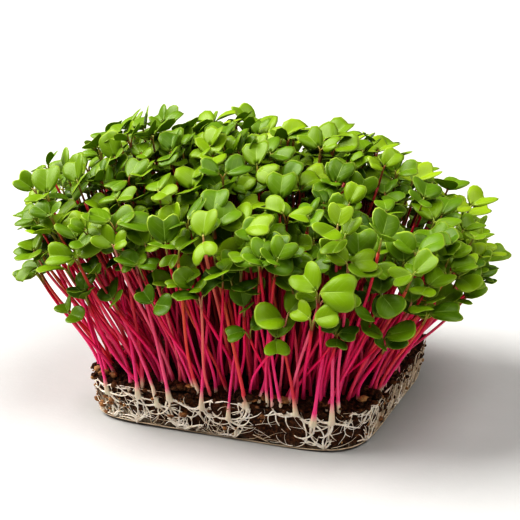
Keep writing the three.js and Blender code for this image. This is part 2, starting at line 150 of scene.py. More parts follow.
def lumps(x, y, z):
    """The part's own crumbs and hollows, from -1 to 1."""
    return (
        0.5 * np.sin(x * 0.41 + 1.7 * np.sin(y * 0.23)) * np.cos(y * 0.37 + z * 0.3)
        + 0.3 * np.sin(x * 0.83 - y * 0.71 + z * 0.5)
        + 0.2 * np.cos(x * 1.3 + y * 1.1 - z * 0.9)
    )


def top_height(x, y):
    return BLOCK.height + BLOCK.lump * lumps(x, y, BLOCK.height)


def side_inset(z):
    """How far the side stands in from the brim at a height: the foot rounding and the tray's draft."""
    slope = BLOCK.draft * (1 - z / BLOCK.height)
    under = np.maximum(0, 1 - z / BLOCK.foot_radius)
    return slope + BLOCK.foot_radius * (1 - np.sqrt(1 - under * under))


def side_point(angle, z, out):
    """A point on the outside of the block's side, some way out of it."""
    distance = brim_distance(angle) - side_inset(z) + out
    return np.array([distance * math.cos(angle), distance * math.sin(angle), z])


# -------- how the seedlings grow
def inside_brim(x, y):
    furthest = brim_beyond(x, y) - TUFTS.inset
    share = min(1, furthest / max(1, math.hypot(x, y)))
    return x * share, y * share


def tuft_places(draws):
    """Where the tufts stand: rows of six and five in turn, each a ring of seedlings' feet."""
    tufts = []
    for row in range(TUFTS.rows):
        in_row = TUFTS.per_row - row % 2
        for column in range(in_row):
            x, y = inside_brim(
                (column - (in_row - 1) / 2) * TUFTS.pitch_x,
                (row - (TUFTS.rows - 1) / 2) * TUFTS.pitch_y,
            )
            first = draws.angle()
            feet = []
            for k in range(TUFTS.per_tuft):
                angle = first + 2 * math.pi * k / TUFTS.per_tuft
                ring = TUFTS.ring * draws.more(*TUFTS.even)
                feet.append((x + ring * math.cos(angle), y + ring * math.sin(angle)))
            tufts.append(SimpleNamespace(feet=feet, seedlings=[None] * TUFTS.per_tuft))
    return tufts


def new_seedling(foot, fork, face, turn, rise, size):
    """A seedling by its foot, its fork, the way its pair of leaves faces, and their turn, rise and size."""
    return SimpleNamespace(
        base=np.array([*foot, BLOCK.height], float),
        fork=np.array(fork, float),
        face=unit(np.array(face, float)),
        turn=turn,
        rise=rise,
        size=size,
        bow=np.zeros(3),
    )


def plant_featured(tufts):
    """Gives each featured seedling the nearest free foot in a tuft."""
    for near, fork, face, turn, rise, size in FEATURED:
        free = [(t, k) for t in tufts for k in range(TUFTS.per_tuft) if t.seedlings[k] is None]
        distance = [math.dist(t.feet[k], near) for t, k in free]
        tuft, k = free[distance.index(min(distance))]
        angles = math.radians(turn), math.radians(rise)
        tuft.seedlings[k] = new_seedling(tuft.feet[k], fork, face, *angles, size)


def draw_seedling(foot, crowding, draws):
    """One way that a seedling could have grown, smaller and further aside if crowded."""
    x, y = foot
    half_x, half_y = BLOCK.width / 2, BLOCK.depth / 2
    away = math.hypot(CANOPY.flat_x * (x - CANOPY.peak_x) / half_x, (y - CANOPY.peak_y) / half_y)
    out = max(1, math.hypot(x / half_x, y / half_y))
    spread = out**-CANOPY.rounding
    angle = draws.angle()
    scatter = CANOPY.scatter * (1 + crowding) * math.sqrt(draws())
    lower = CANOPY.drop * min(away, CANOPY.furthest) ** CANOPY.fall
    height = CANOPY.top - lower + CANOPY.height_scatter * (2 * draws() - 1)
    fork = (
        x * CANOPY.spread_x * spread + CANOPY.shift_x + scatter * math.cos(angle),
        y * CANOPY.spread_y * spread + CANOPY.shift_y + scatter * math.sin(angle),
        height,
    )
    outward = np.array([2 * x / BLOCK.width, 2 * y / BLOCK.depth, 0])
    aside = np.array([draws() - 0.5, draws() - 0.5, 0])
    face = CANOPY.aside * aside + CANOPY.outward * outward + np.array([*CANOPY.light, 1])
    turn, rise = draws() * math.pi, draws.more(*LEAF.rise)
    return new_seedling(foot, fork, face, turn, rise, draws.more(*LEAF.size) * (1 - crowding))


def growth(seedling, upright):
    """The way a stem grows where its bend has turned its lean towards straight up by a share."""
    return unit(lerp(unit(seedling.fork - seedling.base), UP, upright))


def stem_controls(seedling):
    """The four control points of the stem's curve, from the crown to the fork."""
    reach = np.linalg.norm(seedling.fork - seedling.base) / 3
    above = seedling.base + growth(seedling, UPRIGHT.foot) * reach + seedling.bow
    below = seedling.fork - growth(seedling, UPRIGHT.fork) * reach
    return seedling.base, above, below, seedling.fork


def bezier(controls, t):
    """Points of a cubic curve at each of some places from 0 to 1."""
    t = np.asarray(t, float)[:, None]
    a, b, c, d = controls
    return (1 - t) ** 3 * a + 3 * (1 - t) ** 2 * t * b + 3 * (1 - t) * t**2 * c + t**3 * d


def leaf_axes(seedling):
    """The two leaves' own axes: out along the leaf, across it, and out of its upper face."""
    face = seedling.face
    across = unit(np.cross([0, 1, 0], face))
    along = np.cross(face, across)
    first = across * math.cos(seedling.turn) + along * math.sin(seedling.turn)
    stem = growth(seedling, UPRIGHT.fork)
    sweep = (stem - face * (stem @ face)) * LEAF.sweep
    leaves = []
    for way in (1, -1):
        out = unit(first * way + sweep)
        axis = out * math.cos(seedling.rise) + seedling.face * math.sin(seedling.rise)
        normal = seedling.face * math.cos(seedling.rise) - out * math.sin(seedling.rise)
        scale = seedling.size if way > 0 else LEAF.second * seedling.size
        leaves.append(SimpleNamespace(axis=axis, side=np.cross(normal, axis), normal=normal, scale=scale))
    return leaves


def leaf_points(fork, leaf, u, v):
    """Points of a plain leaf: u runs from the fork to the tip, v from edge to edge."""
    length, width = LEAF.length * leaf.scale, LEAF.width * leaf.scale
    height = width * 0.5 * LEAF.fold * np.abs(v) - length * LEAF.arch * u * u
    return (
        fork
        + (length * u)[:, None] * leaf.axis
        + (width * 0.5 * v)[:, None] * leaf.side
        + height[:, None] * leaf.normal
    )


SAMPLE_U = np.repeat(CLEARANCE.leaf_rows, len(CLEARANCE.leaf_cols))
SAMPLE_SPAN = np.sqrt(1 - ((SAMPLE_U - CLEARANCE.widest) / CLEARANCE.widest) ** 2)
SAMPLE_SPAN *= np.minimum(1, SAMPLE_U * CLEARANCE.opening)
SAMPLE_V = np.tile(CLEARANCE.leaf_cols, len(CLEARANCE.leaf_rows)) * SAMPLE_SPAN
SAMPLE_T = np.arange(CLEARANCE.stem_samples // 4, CLEARANCE.stem_samples + 1) / CLEARANCE.stem_samples


def sample_points(seedling):
    """Points spread over a seedling's leaves and upper stem, close enough to feel a crossing."""
    leaves = [leaf_points(seedling.fork, leaf, SAMPLE_U, SAMPLE_V) for leaf in leaf_axes(seedling)]
    return np.concatenate([*leaves, bezier(stem_controls(seedling), SAMPLE_T)])


class Stand:
    """The seedlings grown so far, with what the next one needs to keep clear of."""

    def __init__(self):
        self.forks = []
        self.points = []

    def add(self, seedling):
        self.forks.append(seedling.fork)
        self.points.append(sample_points(seedling))

    def gap(self, seedling, limit):
        """The least distance from a seedling to those already there, no more than a limit."""
        away = np.linalg.norm(np.array(self.forks) - seedling.fork, axis=1)
        near = [self.points[i] for i in np.flatnonzero(away < CLEARANCE.reach)]
        if not near:
            return limit
        own, others = sample_points(seedling), np.concatenate(near)
        centre = seedling.fork
        own, others = own - centre, others - centre
        square = (own**2).sum(1)[:, None] + (others**2).sum(1)[None, :] - 2 * own @ others.T
        return min(limit, math.sqrt(max(0.0, square.min())))


def grow(stand, wide, tries, draw):
    """The clearest of some draws, or the first that is wide of all the others, added to the stand."""
    best, best_gap = None, -1.0
    for attempt in range(tries):
        seedling = draw(CLEARANCE.shrink * attempt / tries)
        gap = stand.gap(seedling, wide)
        if gap > best_gap:
            best, best_gap = seedling, gap
        if best_gap >= wide:
            break
    stand.add(best)
    return best


def grow_tufts(tufts, stand, draws):
    """Grows the part's own seedlings, clear of those that are placed already."""
    for tuft in tufts:
        for seedling in tuft.seedlings:
            if seedling is not None:
                stand.add(seedling)
    for tuft in tufts:
        for k, foot in enumerate(tuft.feet):
            if tuft.seedlings[k] is None:
                tuft.seedlings[k] = grow(
                    stand, CLEARANCE.wide, CLEARANCE.tries,
                    lambda crowding: draw_seedling(foot, crowding, draws),
                )


# -------- the seedlings between the tufts
BETWEEN = SimpleNamespace(
    count=540, seed=14, room=2.1, margin=1.6, tries=8, wide=1.2,
    sparse=0.5, right=(18, 42),  # how much sparser they are at the right, and the x where that sets in
    outer=(0.4, 0.65),  # the outer band, as a share of the way from the axis to the block's side
    short=0.6,  # share of those in it whose leaves fill the canopy's side from within
    below=(5, 27), short_spread=(1.0, 1.42),  # how far under the others' forks theirs are, and fan out
    lowest=(62, 76), front=(0, 30),  # how low those may be at the back and the front, and where it changes
    tall_below=13,  # how far under the others' forks the rest may be
    shoulder=6, far=(0, 35), brim=(0.5, 0.9),  # how much lower they are round the far side, besides
    astray=11, bow=5,  # how far their forks and the middles of their stems may be off to one side
    middle=(-3, 6.5), reach=(89, 77), roundness=3, high=107,  # the form that their forks stay inside
    outward=(-0.15, 0.45), upward=0.25, rise=0.3, size=(0.84, 0.2),  # how their leaves differ
)


def free_places(tufts, draws):
    """Feet for the seedlings between the tufts, clear of each other and of the tufts' own."""
    taken = [foot for tuft in tufts for foot in tuft.feet]
    places = []
    while len(places) < BETWEEN.count:
        x = draws.between(-0.5, 0.5) * BLOCK.width
        y = draws.between(-0.5, 0.5) * BLOCK.depth
        inside = math.hypot(x, y) < brim_beyond(x, y) - BETWEEN.margin
        inside = inside and draws() < 1 - BETWEEN.sparse * smooth_step(*BETWEEN.right, x)
        if inside and min(math.dist((x, y), other) for other in taken) > BETWEEN.room:
            taken.append((x, y))
            places.append((x, y))
    return places


def draw_between(foot, crowding, draws):
    """A seedling between the tufts: as the others, or shorter, with its leaves under theirs."""
    seedling = draw_seedling(foot, crowding, draws)
    x, y = foot
    edge = max(abs(x) / (BLOCK.width / 2), abs(y) / (BLOCK.depth / 2))
    surface = seedling.fork[2]
    is_short = draws() < BETWEEN.short * smooth_step(*BETWEEN.outer, edge)
    share = draws()
    if is_short:
        spread = draws.between(*BETWEEN.short_spread)
        shift = np.array([CANOPY.shift_x, CANOPY.shift_y]) * 0.5
        seedling.fork[:2] = np.array(foot) * spread + shift
        lowest = lerp(*BETWEEN.lowest, smooth_step(*BETWEEN.front, -y))
        seedling.fork[2] = max(lowest, surface - lerp(*BETWEEN.below, share))
    else:
        seedling.fork[2] = surface - BETWEEN.tall_below * share
    shoulder = smooth_step(*BETWEEN.far, y) * smooth_step(*BETWEEN.brim, edge)
    seedling.fork[2] -= BETWEEN.shoulder * shoulder
    seedling.depth = surface - seedling.fork[2]
    seedling.fork[:2] += BETWEEN.astray * np.array([draws.aside(), draws.aside()])
    seedling.bow = BETWEEN.bow * np.array([draws.aside(), draws.aside(), 0])
    off = seedling.fork[:2] - BETWEEN.middle
    reached = (np.abs(off / BETWEEN.reach) ** BETWEEN.roundness).sum() ** (1 / BETWEEN.roundness)
    seedling.fork[:2] -= off * (1 - 1 / max(1, reached))
    seedling.fork[2] = min(BETWEEN.high, seedling.fork[2])
    outward = np.array([x / BLOCK.width, y / BLOCK.depth, 0]) * 2
    leaning = draws.more(*BETWEEN.outward) * outward
    seedling.face = unit(seedling.face + leaning + BETWEEN.upward * UP)
    seedling.rise += BETWEEN.rise * draws()
    seedling.size *= draws.more(*BETWEEN.size)
    return seedling


def grow_between(tufts, stand):
    draws = Draws(BETWEEN.seed)
    return [
        grow(stand, BETWEEN.wide, BETWEEN.tries, lambda crowding: draw_between(foot, crowding, draws))
        for foot in free_places(tufts, draws)
    ]


# Seedlings that grew over the front edge, on bare white crowns: the crown's x and height on the side
# of the block, its reach up to where the stem turns pink, the fork, and how salmon the stem is.
EDGE_SEEDLINGS = (
    (-22.2, 10.5, 8.0, (-50, -60, 79), 0.1),
    (-3.9, 12.0, 4.6, (2, -58, 84), 0.6),
    (6.9, 9.0, 4.2, (15, -60, 76), 0.2),
    (-30.5, 13.0, 3.6, (-40, -57, 76), 0.3),
    (-17.0, 14.0, 3.0, (-29, -62, 72), 0.0),
    (34.2, 15.2, 3.4, (22, -58, 80), 0.9),
    (40.5, 11.6, 1.2, (52, -58, 84), 0.0),
    (47.2, 12.6, 5.4, (50, -60, 88), 0.1),
    (-45.0, 12.0, 3.2, (-66, -50, 74), 0.2),
    (14.5, 16.0, 1.5, (4, -62, 74), 1.0),
)
EDGE = SimpleNamespace(proud=0.8, face=(0.4, -0.6, 0.8), sway=3, turn=40, rise=22, size=0.9)  # degrees


def front_angle(x, z):
    """The direction from the block's axis to the place at x and a height on its front side."""
    angle = math.atan2(-BLOCK.depth / 2, x)
    for _ in range(4):
        angle = math.atan2(side_point(angle, z, 0)[1], x)
    return angle


def grow_edge():
    """The seedlings on the front edge."""
    grown = []
    for number, (x, z, white, fork, warm) in enumerate(EDGE_SEEDLINGS):
        foot = side_point(front_angle(x, z), z, EDGE.proud)
        to_right, forward, upward = EDGE.face
        face = (to_right * math.sin(EDGE.sway * number), forward, upward)
        turn = math.radians(EDGE.turn * number)
        seedling = new_seedling(foot[:2], fork, face, turn, math.radians(EDGE.rise), EDGE.size)
        seedling.base[2] = z
        seedling.white, seedling.warm = white, warm
        grown.append(seedling)
    return grown


# -------- making meshes
def add_object(name, data):
    made = bpy.data.objects.new(name, data)
    bpy.context.scene.collection.objects.link(made)
    return made


class Shape:
    """Vertices, faces and per-vertex values gathered until they are made into one object."""

    def __init__(self, *values):
        self.points = []
        self.faces = []
        self.values = {name: [] for name in values}
        self.count = 0

    def add(self, points, faces, **values):
        self.points.append(np.asarray(points, float))
        self.faces.extend([[i + self.count for i in face] for face in faces])
        for name, kept in self.values.items():
            kept.append(np.broadcast_to(values[name], (len(points), 3)))
        self.count += len(points)

    def make(self, name, material, slot):
        """The object, in metres, with its values as vector attributes."""
        mesh = bpy.data.meshes.new(name)
        mesh.from_pydata((np.concatenate(self.points) * MM).tolist(), [], self.faces)
        mesh.shade_smooth()
        for value, parts in self.values.items():
            attribute = mesh.attributes.new(value, "FLOAT_VECTOR", "POINT")
            attribute.data.foreach_set("vector", np.concatenate(parts).astype(np.float32).ravel())
        mesh.materials.append(material)
        piece = add_object(name, mesh)
        return piece


def tube_frames(path):
    """Two directions square to a path at each of its points, without twist."""
    tangents = np.gradient(path, axis=0)
    tangents /= np.linalg.norm(tangents, axis=1)[:, None]
    along_x = abs(tangents[0][0]) >= 0.8
    a = [unit(np.cross(tangents[0], [0.0, 1.0, 0.0] if along_x else [1.0, 0.0, 0.0]))]
    for tangent in tangents[1:]:
        turned = a[-1] - tangent * (a[-1] @ tangent)
        a.append(unit(turned))
    a = np.array(a)
    return a, np.cross(tangents, a)


def tube(path, radii, sides):
    """Vertices and faces of a closed tube along a path, and the step of the path each vertex is on."""
    path = np.asarray(path, float)
    a, b = tube_frames(path)
    turns = 2 * math.pi * np.arange(sides) / sides
    ring = np.cos(turns)[None, :, None] * a[:, None, :] + np.sin(turns)[None, :, None] * b[:, None, :]
    points = path[:, None, :] + np.asarray(radii, float)[:, None, None] * ring
    steps = len(path)
    faces = []
    for i in range(steps - 1):
        for k in range(sides):
            after = (k + 1) % sides
            low, high = i * sides, (i + 1) * sides
            faces.append([low + k, low + after, high + after, high + k])
    faces.append(list(range(sides))[::-1])
    faces.append([(steps - 1) * sides + k for k in range(sides)])
    return points.reshape(-1, 3), faces, np.repeat(np.arange(steps), sides)


# -------- fine stems
STEM = SimpleNamespace(
    foot=0.74, neck=0.6, fork=0.55, sunk=4.0, white_foot=0.1,
    wobble=0.3, waves=(5, 4), phases=(6.28, 12.57),  # slight bends, to right and left and back and forth
)
CROWN = SimpleNamespace(foot=1.3, waist=0.78, top=0.66, sunk=2.5)  # radii of a bare crown, its sunk tip
STALK = SimpleNamespace(
    low=0.42, top=0.36, sides=5, steps=8,  # radii at both ends
    sunk=0.8, aside=0.15,  # how deep its ends sit in the stem and the blade, and how far apart they leave
    lift=0.6, bend=0.25, level=0.3,  # how its curve leaves the stem and meets the blade
)


def stem_path(seedling):
    """Points along a stem from inside the mix to where it forks, with the slight bends of a real one."""
    t = seedling.split * np.linspace(0, 1, seedling.detail.stem_steps) ** 0.9
    path = bezier(stem_controls(seedling), t)
    bend = np.sin(t * math.pi) * STEM.wobble
    phase = seedling.look()
    path[:, 0] += bend * np.sin(t * STEM.waves[0] + STEM.phases[0] * phase)
    path[:, 1] += bend * np.cos(t * STEM.waves[1] + STEM.phases[1] * phase)
    if seedling.white:
        below = path[0] - unit(path[0] * [1, 1, 0] + [0, 0, 25]) * CROWN.sunk
    else:
        below = path[0] - np.array([0, 0, STEM.sunk])
    return np.vstack([below, path]), np.concatenate([[0.0], t])


def stem_looks(seedling, t):
    """A stem's radii and the places of its colours, at shares t of the way to the fork."""
    if not seedling.white:
        radii = np.interp(t, [0, 0.04, 0.15, 1], [STEM.foot * 1.1, STEM.foot, STEM.neck, STEM.fork])
        return radii, lerp(seedling.buried * STEM.white_foot, 1, t)
    length = np.linalg.norm(seedling.fork - seedling.base)
    white = seedling.white / length
    radii = np.interp(
        t, [0, 0.3 * white, white, white + 0.12, 1],
        [CROWN.foot, CROWN.waist, CROWN.top, STEM.neck * 1.1, STEM.fork],
    )
    return radii, np.interp(t, [0, white, white + 0.05, 1], [0, 0.03, 0.1, 1])


def add_stem(shape, seedling):
    """A seedling's stem and its two leaf stalks."""
    def kind(along):
        return np.stack([along, np.full(len(along), seedling.warm), np.full(len(along), seedling.pale)], 1)

    path, t = stem_path(seedling)
    radii, along = stem_looks(seedling, t)
    points, faces, step = tube(path, seedling.thick * radii, seedling.detail.stem_sides)
    shape.add(points, faces, stem=kind(along[step]))
    split, rise = path[-1], unit(path[-1] - path[-2])
    reach = np.linalg.norm(seedling.fork - split)
    for leaf in leaf_axes(seedling):
        aside = leaf.axis - rise * (leaf.axis @ rise)
        foot = blade_foot(seedling, leaf) + leaf.axis * STALK.sunk
        start = split - rise * STALK.sunk + aside * STALK.aside
        above = start + rise * reach * STALK.lift + aside * STALK.bend
        before = foot - leaf.axis * reach * STALK.level
        s = np.linspace(0, 1, STALK.steps)
        radii = seedling.thick * np.interp(s, [0, 1], [STALK.low, STALK.top])
        points, faces, step = tube(bezier((start, above, before, foot), s), radii, STALK.sides)
        shape.add(points, faces, stem=kind(1 + s[step]))


# -------- fine leaves
BLADE = SimpleNamespace(
    foot=(0.03, 0.12),  # where the blade starts, as a share of the plain leaf's length
    narrow=0.77,  # the real blade's width beside the plain one's
    thickness=0.4,
    half_turn=math.radians(86),  # the outline's furthest point each side, seen from the blade's foot
    closer=1.25,  # how much closer together the points are near the notch
    notch=0.19, notch_width=math.radians(17),
    lobe=0.03, lobe_turn=0.5, lobe_width=0.3,  # how far the tip bulges each side of the notch
    taper=(0.84, 1.2),  # width at the foot and at the tip beside an even oval's
    crease=0.006, crease_depth=0.0775,  # how rounded the fold is along the midrib
    cushion_to=0.52,  # share of its breadth where the cushion each side of the midrib ends
)
VARIED = SimpleNamespace(  # how one blade differs from the next
    broad=(1.08, 0.22), notch=(0.1, 1.8), fold=(0.2, 1.5, 1.5), arch=(-0.4, 3.0), cushion=(0.02, 0.05),
    curl=(0.02, 0.05), wave=(0.02, 0.09, 2), waves=(2, 2), phase=(0, ROUND),
)
HUE = SimpleNamespace(scatter=0.12, pair=0.04)  # how a leaf's green differs from its seedling's


def blade_foot(seedling, leaf):
    return leaf_points(seedling.fork, leaf, np.array([seedling.blade_from]), np.array([0.0]))[0]


def blade_template(rounds, rings):
    """Turn and share of the way out for each vertex of a blade's upper face, and the faces."""
    even = np.linspace(-1, 1, rounds + 1)
    turns = BLADE.half_turn * np.sign(even) * np.abs(even) ** BLADE.closer
    turn = np.concatenate([[0.0], np.tile(turns, len(rings))])
    share = np.concatenate([[0.0], np.repeat(rings, rounds + 1)])
    faces = [[0, 1 + k, 2 + k] for k in range(rounds)]
    for i in range(len(rings) - 1):
        for k in range(rounds):
            a = 1 + i * (rounds + 1) + k
            faces.append([a, a + rounds + 1, a + rounds + 2, a + 1])
    on_rim = (share == 0) | (share == 1) | (np.abs(turn) > BLADE.half_turn * 0.999)
    lower = np.arange(len(turn))
    lower[~on_rim] = len(turn) + np.arange((~on_rim).sum())
    faces += [[int(lower[i]) for i in reversed(face)] for face in faces]
    return SimpleNamespace(turn=turn, share=share, inner=~on_rim, faces=faces)


FINE = SimpleNamespace(
    stem_sides=8, stem_steps=13, blade=blade_template(18, (0.22, 0.44, 0.64, 0.82, 0.94, 1.0))
)
PLAIN = SimpleNamespace(stem_sides=6, stem_steps=8, blade=blade_template(12, (0.3, 0.6, 0.88, 1.0)))
FINE_FROM = 0.5  # share of the way to the brim from which seedlings are finer


def blade_outline(turn, look):
    """Distance from the blade's foot to its edge in a direction, as a share of its length."""
    half_length, half_width = 0.5, 0.5 * look.broad
    square = (np.cos(turn) / half_length) ** 2 + (np.sin(turn) / half_width) ** 2
    distance = 2 * np.cos(turn) / half_length / square
    notch = look.notch * np.exp(-((turn / BLADE.notch_width) ** 2))
    lobes = BLADE.lobe * np.exp(-(((np.abs(turn) - BLADE.lobe_turn) / BLADE.lobe_width) ** 2))
    return distance * (1 - notch + lobes)


def blade_height(x, y, share, turn, look):
    """Height of the blade's upper face over its own plane, all in shares of its length."""
    fold = look.fold * (np.sqrt(y * y + BLADE.crease) - BLADE.crease_depth)
    arch = -look.arch * x * x
    across = np.sin(np.clip(np.abs(y) / (BLADE.cushion_to * look.broad), 0, 1) * math.pi)
    cushion = look.cushion * across * np.sin(np.clip(x, 0, 1) * math.pi)
    rim = -look.curl * share**4
    wave = look.wave * share**2 * np.sin(look.waves * turn + look.phase)
    return fold + arch + cushion + rim + wave


def blade_look(seedling, way):
    """How one leaf of a seedling differs from the next."""
    draws = seedling.look
    look = SimpleNamespace(**{name: draws.more(*varied) for name, varied in vars(VARIED).items()})
    look.notch = BLADE.notch * look.notch
    look.fold = LEAF.fold * look.fold * seedling.folded
    look.arch = LEAF.arch * look.arch
    look.hue = np.clip(seedling.hue + HUE.scatter * (draws() - 0.5) + HUE.pair * way, 0, 1)
    return look


def add_blade(shape, seedling, leaf, way):
    """A seed leaf: a broad notched heart, closed, thin at its rim."""
    look = blade_look(seedling, way)
    length = LEAF.length * (1 - seedling.blade_from) * leaf.scale
    narrow = BLADE.narrow * LEAF.width / (LEAF.length * (1 - seedling.blade_from))
    blade = seedling.detail.blade
    turn, share = blade.turn, blade.share
    distance = share * blade_outline(turn, look)
    x = distance * np.cos(turn)
    y = distance * np.sin(turn) * narrow * lerp(*BLADE.taper, x)
    height = blade_height(x, y, share, turn, look)
    foot = blade_foot(seedling, leaf)
    thick = BLADE.thickness * np.sqrt(1 - share**6) * 0.5
    thick *= np.clip((BLADE.half_turn - np.abs(turn)) * 6, 0, 1)

    def place(above):
        lift = (height * length + above)[:, None] * leaf.normal
        return foot + (x * length)[:, None] * leaf.axis + (y * length)[:, None] * leaf.side + lift

    upper, lower = place(thick), place(-thick)[blade.inner]
    rim = np.maximum(share, np.abs(turn) / BLADE.half_turn * (share > 0))
    where = np.stack([x, y, rim], 1)
    kind = np.array([look.hue, 0.0, seedling.shade])
    below = kind + np.array([0.0, 1.0, 0.0])
    shape.add(
        np.vstack([upper, lower]),
        blade.faces,
        leaf_place=np.vstack([where, where[blade.inner]]),
        leaf_kind=np.vstack([np.tile(kind, (len(upper), 1)), np.tile(below, (len(lower), 1))]),
    )


LOOK = SimpleNamespace(
    seed=3, thick=(0.86, 0.3), warm=(0, 1, 1.3),
    hue=0.48, scatter=0.5, fresh=0.14, fresh_from=0.9,  # a few leaves are a fresher green
    painted_shade_by_depth=0.55, depth=(5, 19),  # painted shade: leaves further under the canopy's top, where the others shade them, are a darker green
    light=0.24, far=(-30, 50), near=0.06,  # painted light: the far side, by y, is a lighter green, and the near side a darker one
    folded=1.2, folded_from=0.78,  # some leaves are folded more
    split=(0.86, 0.95),  # where the stem forks into the leaf stalks
    lit=(0.5, 0.86),  # painted shade: stems further inside than this share of the way to the brim are a deeper red
    white_foot=(0.8, 0.93),  # from this share on, some stems show a white foot
)


def give_looks(seedlings):
    """What each seedling's stem and leaves look like, by draws of their own, with painted shade and painted
    light by where it stands.
    """
    draws = Draws(LOOK.seed)
    for seedling in seedlings:
        x, y = seedling.base[:2]
        edge = np.linalg.norm([x, y]) / brim_beyond(x, y)
        seedling.look = draws
        seedling.thick = draws.more(*LOOK.thick)
        warm = draws.more(*LOOK.warm)
        # Painted shade and light: inner stems get a low pale value, which the stem material turns into a
        # deeper red; only outer stems may reach the paler pink.
        seedling.pale = draws() - (1 - smooth_step(*LOOK.lit, edge))
        seedling.hue = LOOK.hue + LOOK.scatter * (draws() - 0.5) + LOOK.fresh * (draws() > LOOK.fresh_from)
        seedling.shade = draws()
        # Painted shade: a leaf is a darker green the further its fork lies under the canopy's top.
        if hasattr(seedling, "depth"):
            seedling.hue -= LOOK.painted_shade_by_depth * smooth_step(*LOOK.depth, seedling.depth)
        # Painted light: leaves on the far side are a lighter green, by y, and those on the near side a
        # darker one.
        seedling.hue += LOOK.light * smooth_step(*LOOK.far, y) - LOOK.near
        seedling.folded = 1 + LOOK.folded * (draws() > LOOK.folded_from)
        seedling.blade_from = draws.between(*BLADE.foot)
        seedling.split = draws.between(*LOOK.split)
        seedling.detail = FINE if edge > FINE_FROM else PLAIN
        seedling.buried = 1 - smooth_step(*LOOK.white_foot, edge) * draws()
        if not hasattr(seedling, "white"):
            seedling.white, seedling.warm = 0.0, warm


def make_seedlings(name, seedlings, replaced):
    """The stems and the leaves of some seedlings, as two pieces."""
    stems, leaves = Shape("stem"), Shape("leaf_place", "leaf_kind")
    for seedling in seedlings:
        add_stem(stems, seedling)
        for way, leaf in enumerate(leaf_axes(seedling)):
            add_blade(leaves, seedling, leaf, way)
    pieces = [
        stems.make(name + "_stems", MATERIALS.stem, "stem"),
        leaves.make(name + "_leaves", MATERIALS.leaf, "leaf"),
    ]
    for piece in pieces:
        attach(piece, "root")
        if replaced:
            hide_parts(replaced)


# -------- the fine potting mix
SOIL = SimpleNamespace(
    segments=400, side_rows=20, top_rows=28,
    foot=(0.0, 0.6, 0.98), foot_to=0.2,  # the rings under the block, which is left flat up to this height
    least_inset=0.4,  # height whose inset the rings below it have too
    side=(0.5, 15.2), top_from=15.5,  # heights of the side's rings, and where the top's begin
    brim=(0.006, 0.016, 0.028), top_steps=(0.012, 0.055), middle=0.02,  # the top's rings, from the brim
    shoulder=((0, 0.05, 0.12), (16.2, 17.6, 18.0)),  # the rounding of the brim: way in, and height
    side_tilt=((0, 14, 16.2, 17.6), (0, 0.1, 0.6, 1)),  # roughness goes outward (0) or up (1), by height
    brim_tilt=0.7, brim_to=17,  # the same for the top's rings below this height. The others' goes up
    coarse=1.7, fine=0.6, settled=0.25, filmed=0.6,  # roughness, and how much of it the film takes away
)
FILM = SimpleNamespace(  # its corner in degrees, its heights, and how strong it is there and elsewhere
    corner=222, width=0.35, foot=0.5, height=3.5, more=11, thin=0.3, dense=0.9,
)


def fractal(points, scale, octaves=3):
    """Fractal noise from about -1 to 1 at each of some points."""
    return np.array([noise.fractal(Vector(p * scale), 1.0, 2.0, octaves) for p in points])


def cells(points, scale):
    """Rounded lumps from 0 to 1, packed as crumbs are."""
    return np.array([1 - noise.voronoi(Vector(p * scale))[0][0] for p in points])


def film_strength(angle, z):
    """How much of the side is covered by the pale root film: the foot, and all of the left front corner."""
    off_corner = np.angle(np.exp(1j * (angle - math.radians(FILM.corner))))
    corner = np.exp(-((off_corner / FILM.width) ** 2))
    band = 1 - smooth_step(FILM.foot, FILM.height + FILM.more * corner, z)
    return np.clip(band * (FILM.thin + FILM.dense * corner), 0, 1)


def soil_rings():
    """Each ring of the block, from the middle of its foot to that of its top: its share of the way out
    to the side or the brim, and its height."""
    foot = [(share, 0.0) for share in SOIL.foot]
    side = [(1.0, z) for z in np.linspace(*SOIL.side, SOIL.side_rows)]
    shares = 1 - np.concatenate([SOIL.brim, np.cumsum(np.linspace(*SOIL.top_steps, SOIL.top_rows))])
    heights = np.interp(1 - shares, *SOIL.shoulder)
    top = [(max(share, SOIL.middle), z) for share, z in zip(shares, heights)]
    return [*foot, *side, *top, (0.0, BLOCK.height)]


def soil_ring(share, z, turn):
    """A ring's points, the way that roughness moves each, and how much root film is on them."""
    on_top, on_foot = z > SOIL.top_from, z <= SOIL.foot_to
    outline = brim_distance(turn) - (0 if on_top else side_inset(max(z, SOIL.least_inset)))
    x, y = share * outline * np.cos(turn), share * outline * np.sin(turn)
    level = np.full(len(turn), float(z))
    if on_top:
        level = z + BLOCK.lump * lumps(x, y, BLOCK.height)
    aside = np.stack([np.cos(turn), np.sin(turn), np.zeros(len(turn))], 1)
    tilt = np.interp(z, *SOIL.side_tilt)
    if on_top:
        tilt = SOIL.brim_tilt if z < SOIL.brim_to else 1.0
    out = aside * 0 if on_foot else (1 - tilt) * aside + tilt * UP
    return np.stack([x, y, level], 1), out, film_strength(turn, z) * (not on_foot)


def make_soil():
    """The block with its clods, hollows and crumbs."""
    rings = soil_rings()
    angles = 2 * math.pi * np.arange(SOIL.segments) / SOIL.segments
    made = [soil_ring(share, z, angles[:1] if share == 0.0 else angles) for share, z in rings]
    points, out, films = (np.concatenate(part) for part in zip(*made))
    rough = SOIL.coarse * 0.8 * (cells(points, 0.21) - 0.5) + SOIL.coarse * 0.5 * fractal(points, 0.3)
    rough += SOIL.fine * (cells(points, 0.6) - 0.6)
    points += out * (rough - SOIL.settled)[:, None] * (1 - SOIL.filmed * films)[:, None]
    faces, start, before = [], 0, None
    for ring, _, _ in made:
        if before is not None:
            faces += band_faces(before, (start, len(ring)))
        before = (start, len(ring))
        start += len(ring)
    shape = Shape("soil")
    kind = np.stack([films, np.clip(0.5 + 0.5 * fractal(points, 0.11), 0, 1), np.zeros(len(points))], 1)
    shape.add(points, faces, soil=kind)
    return shape


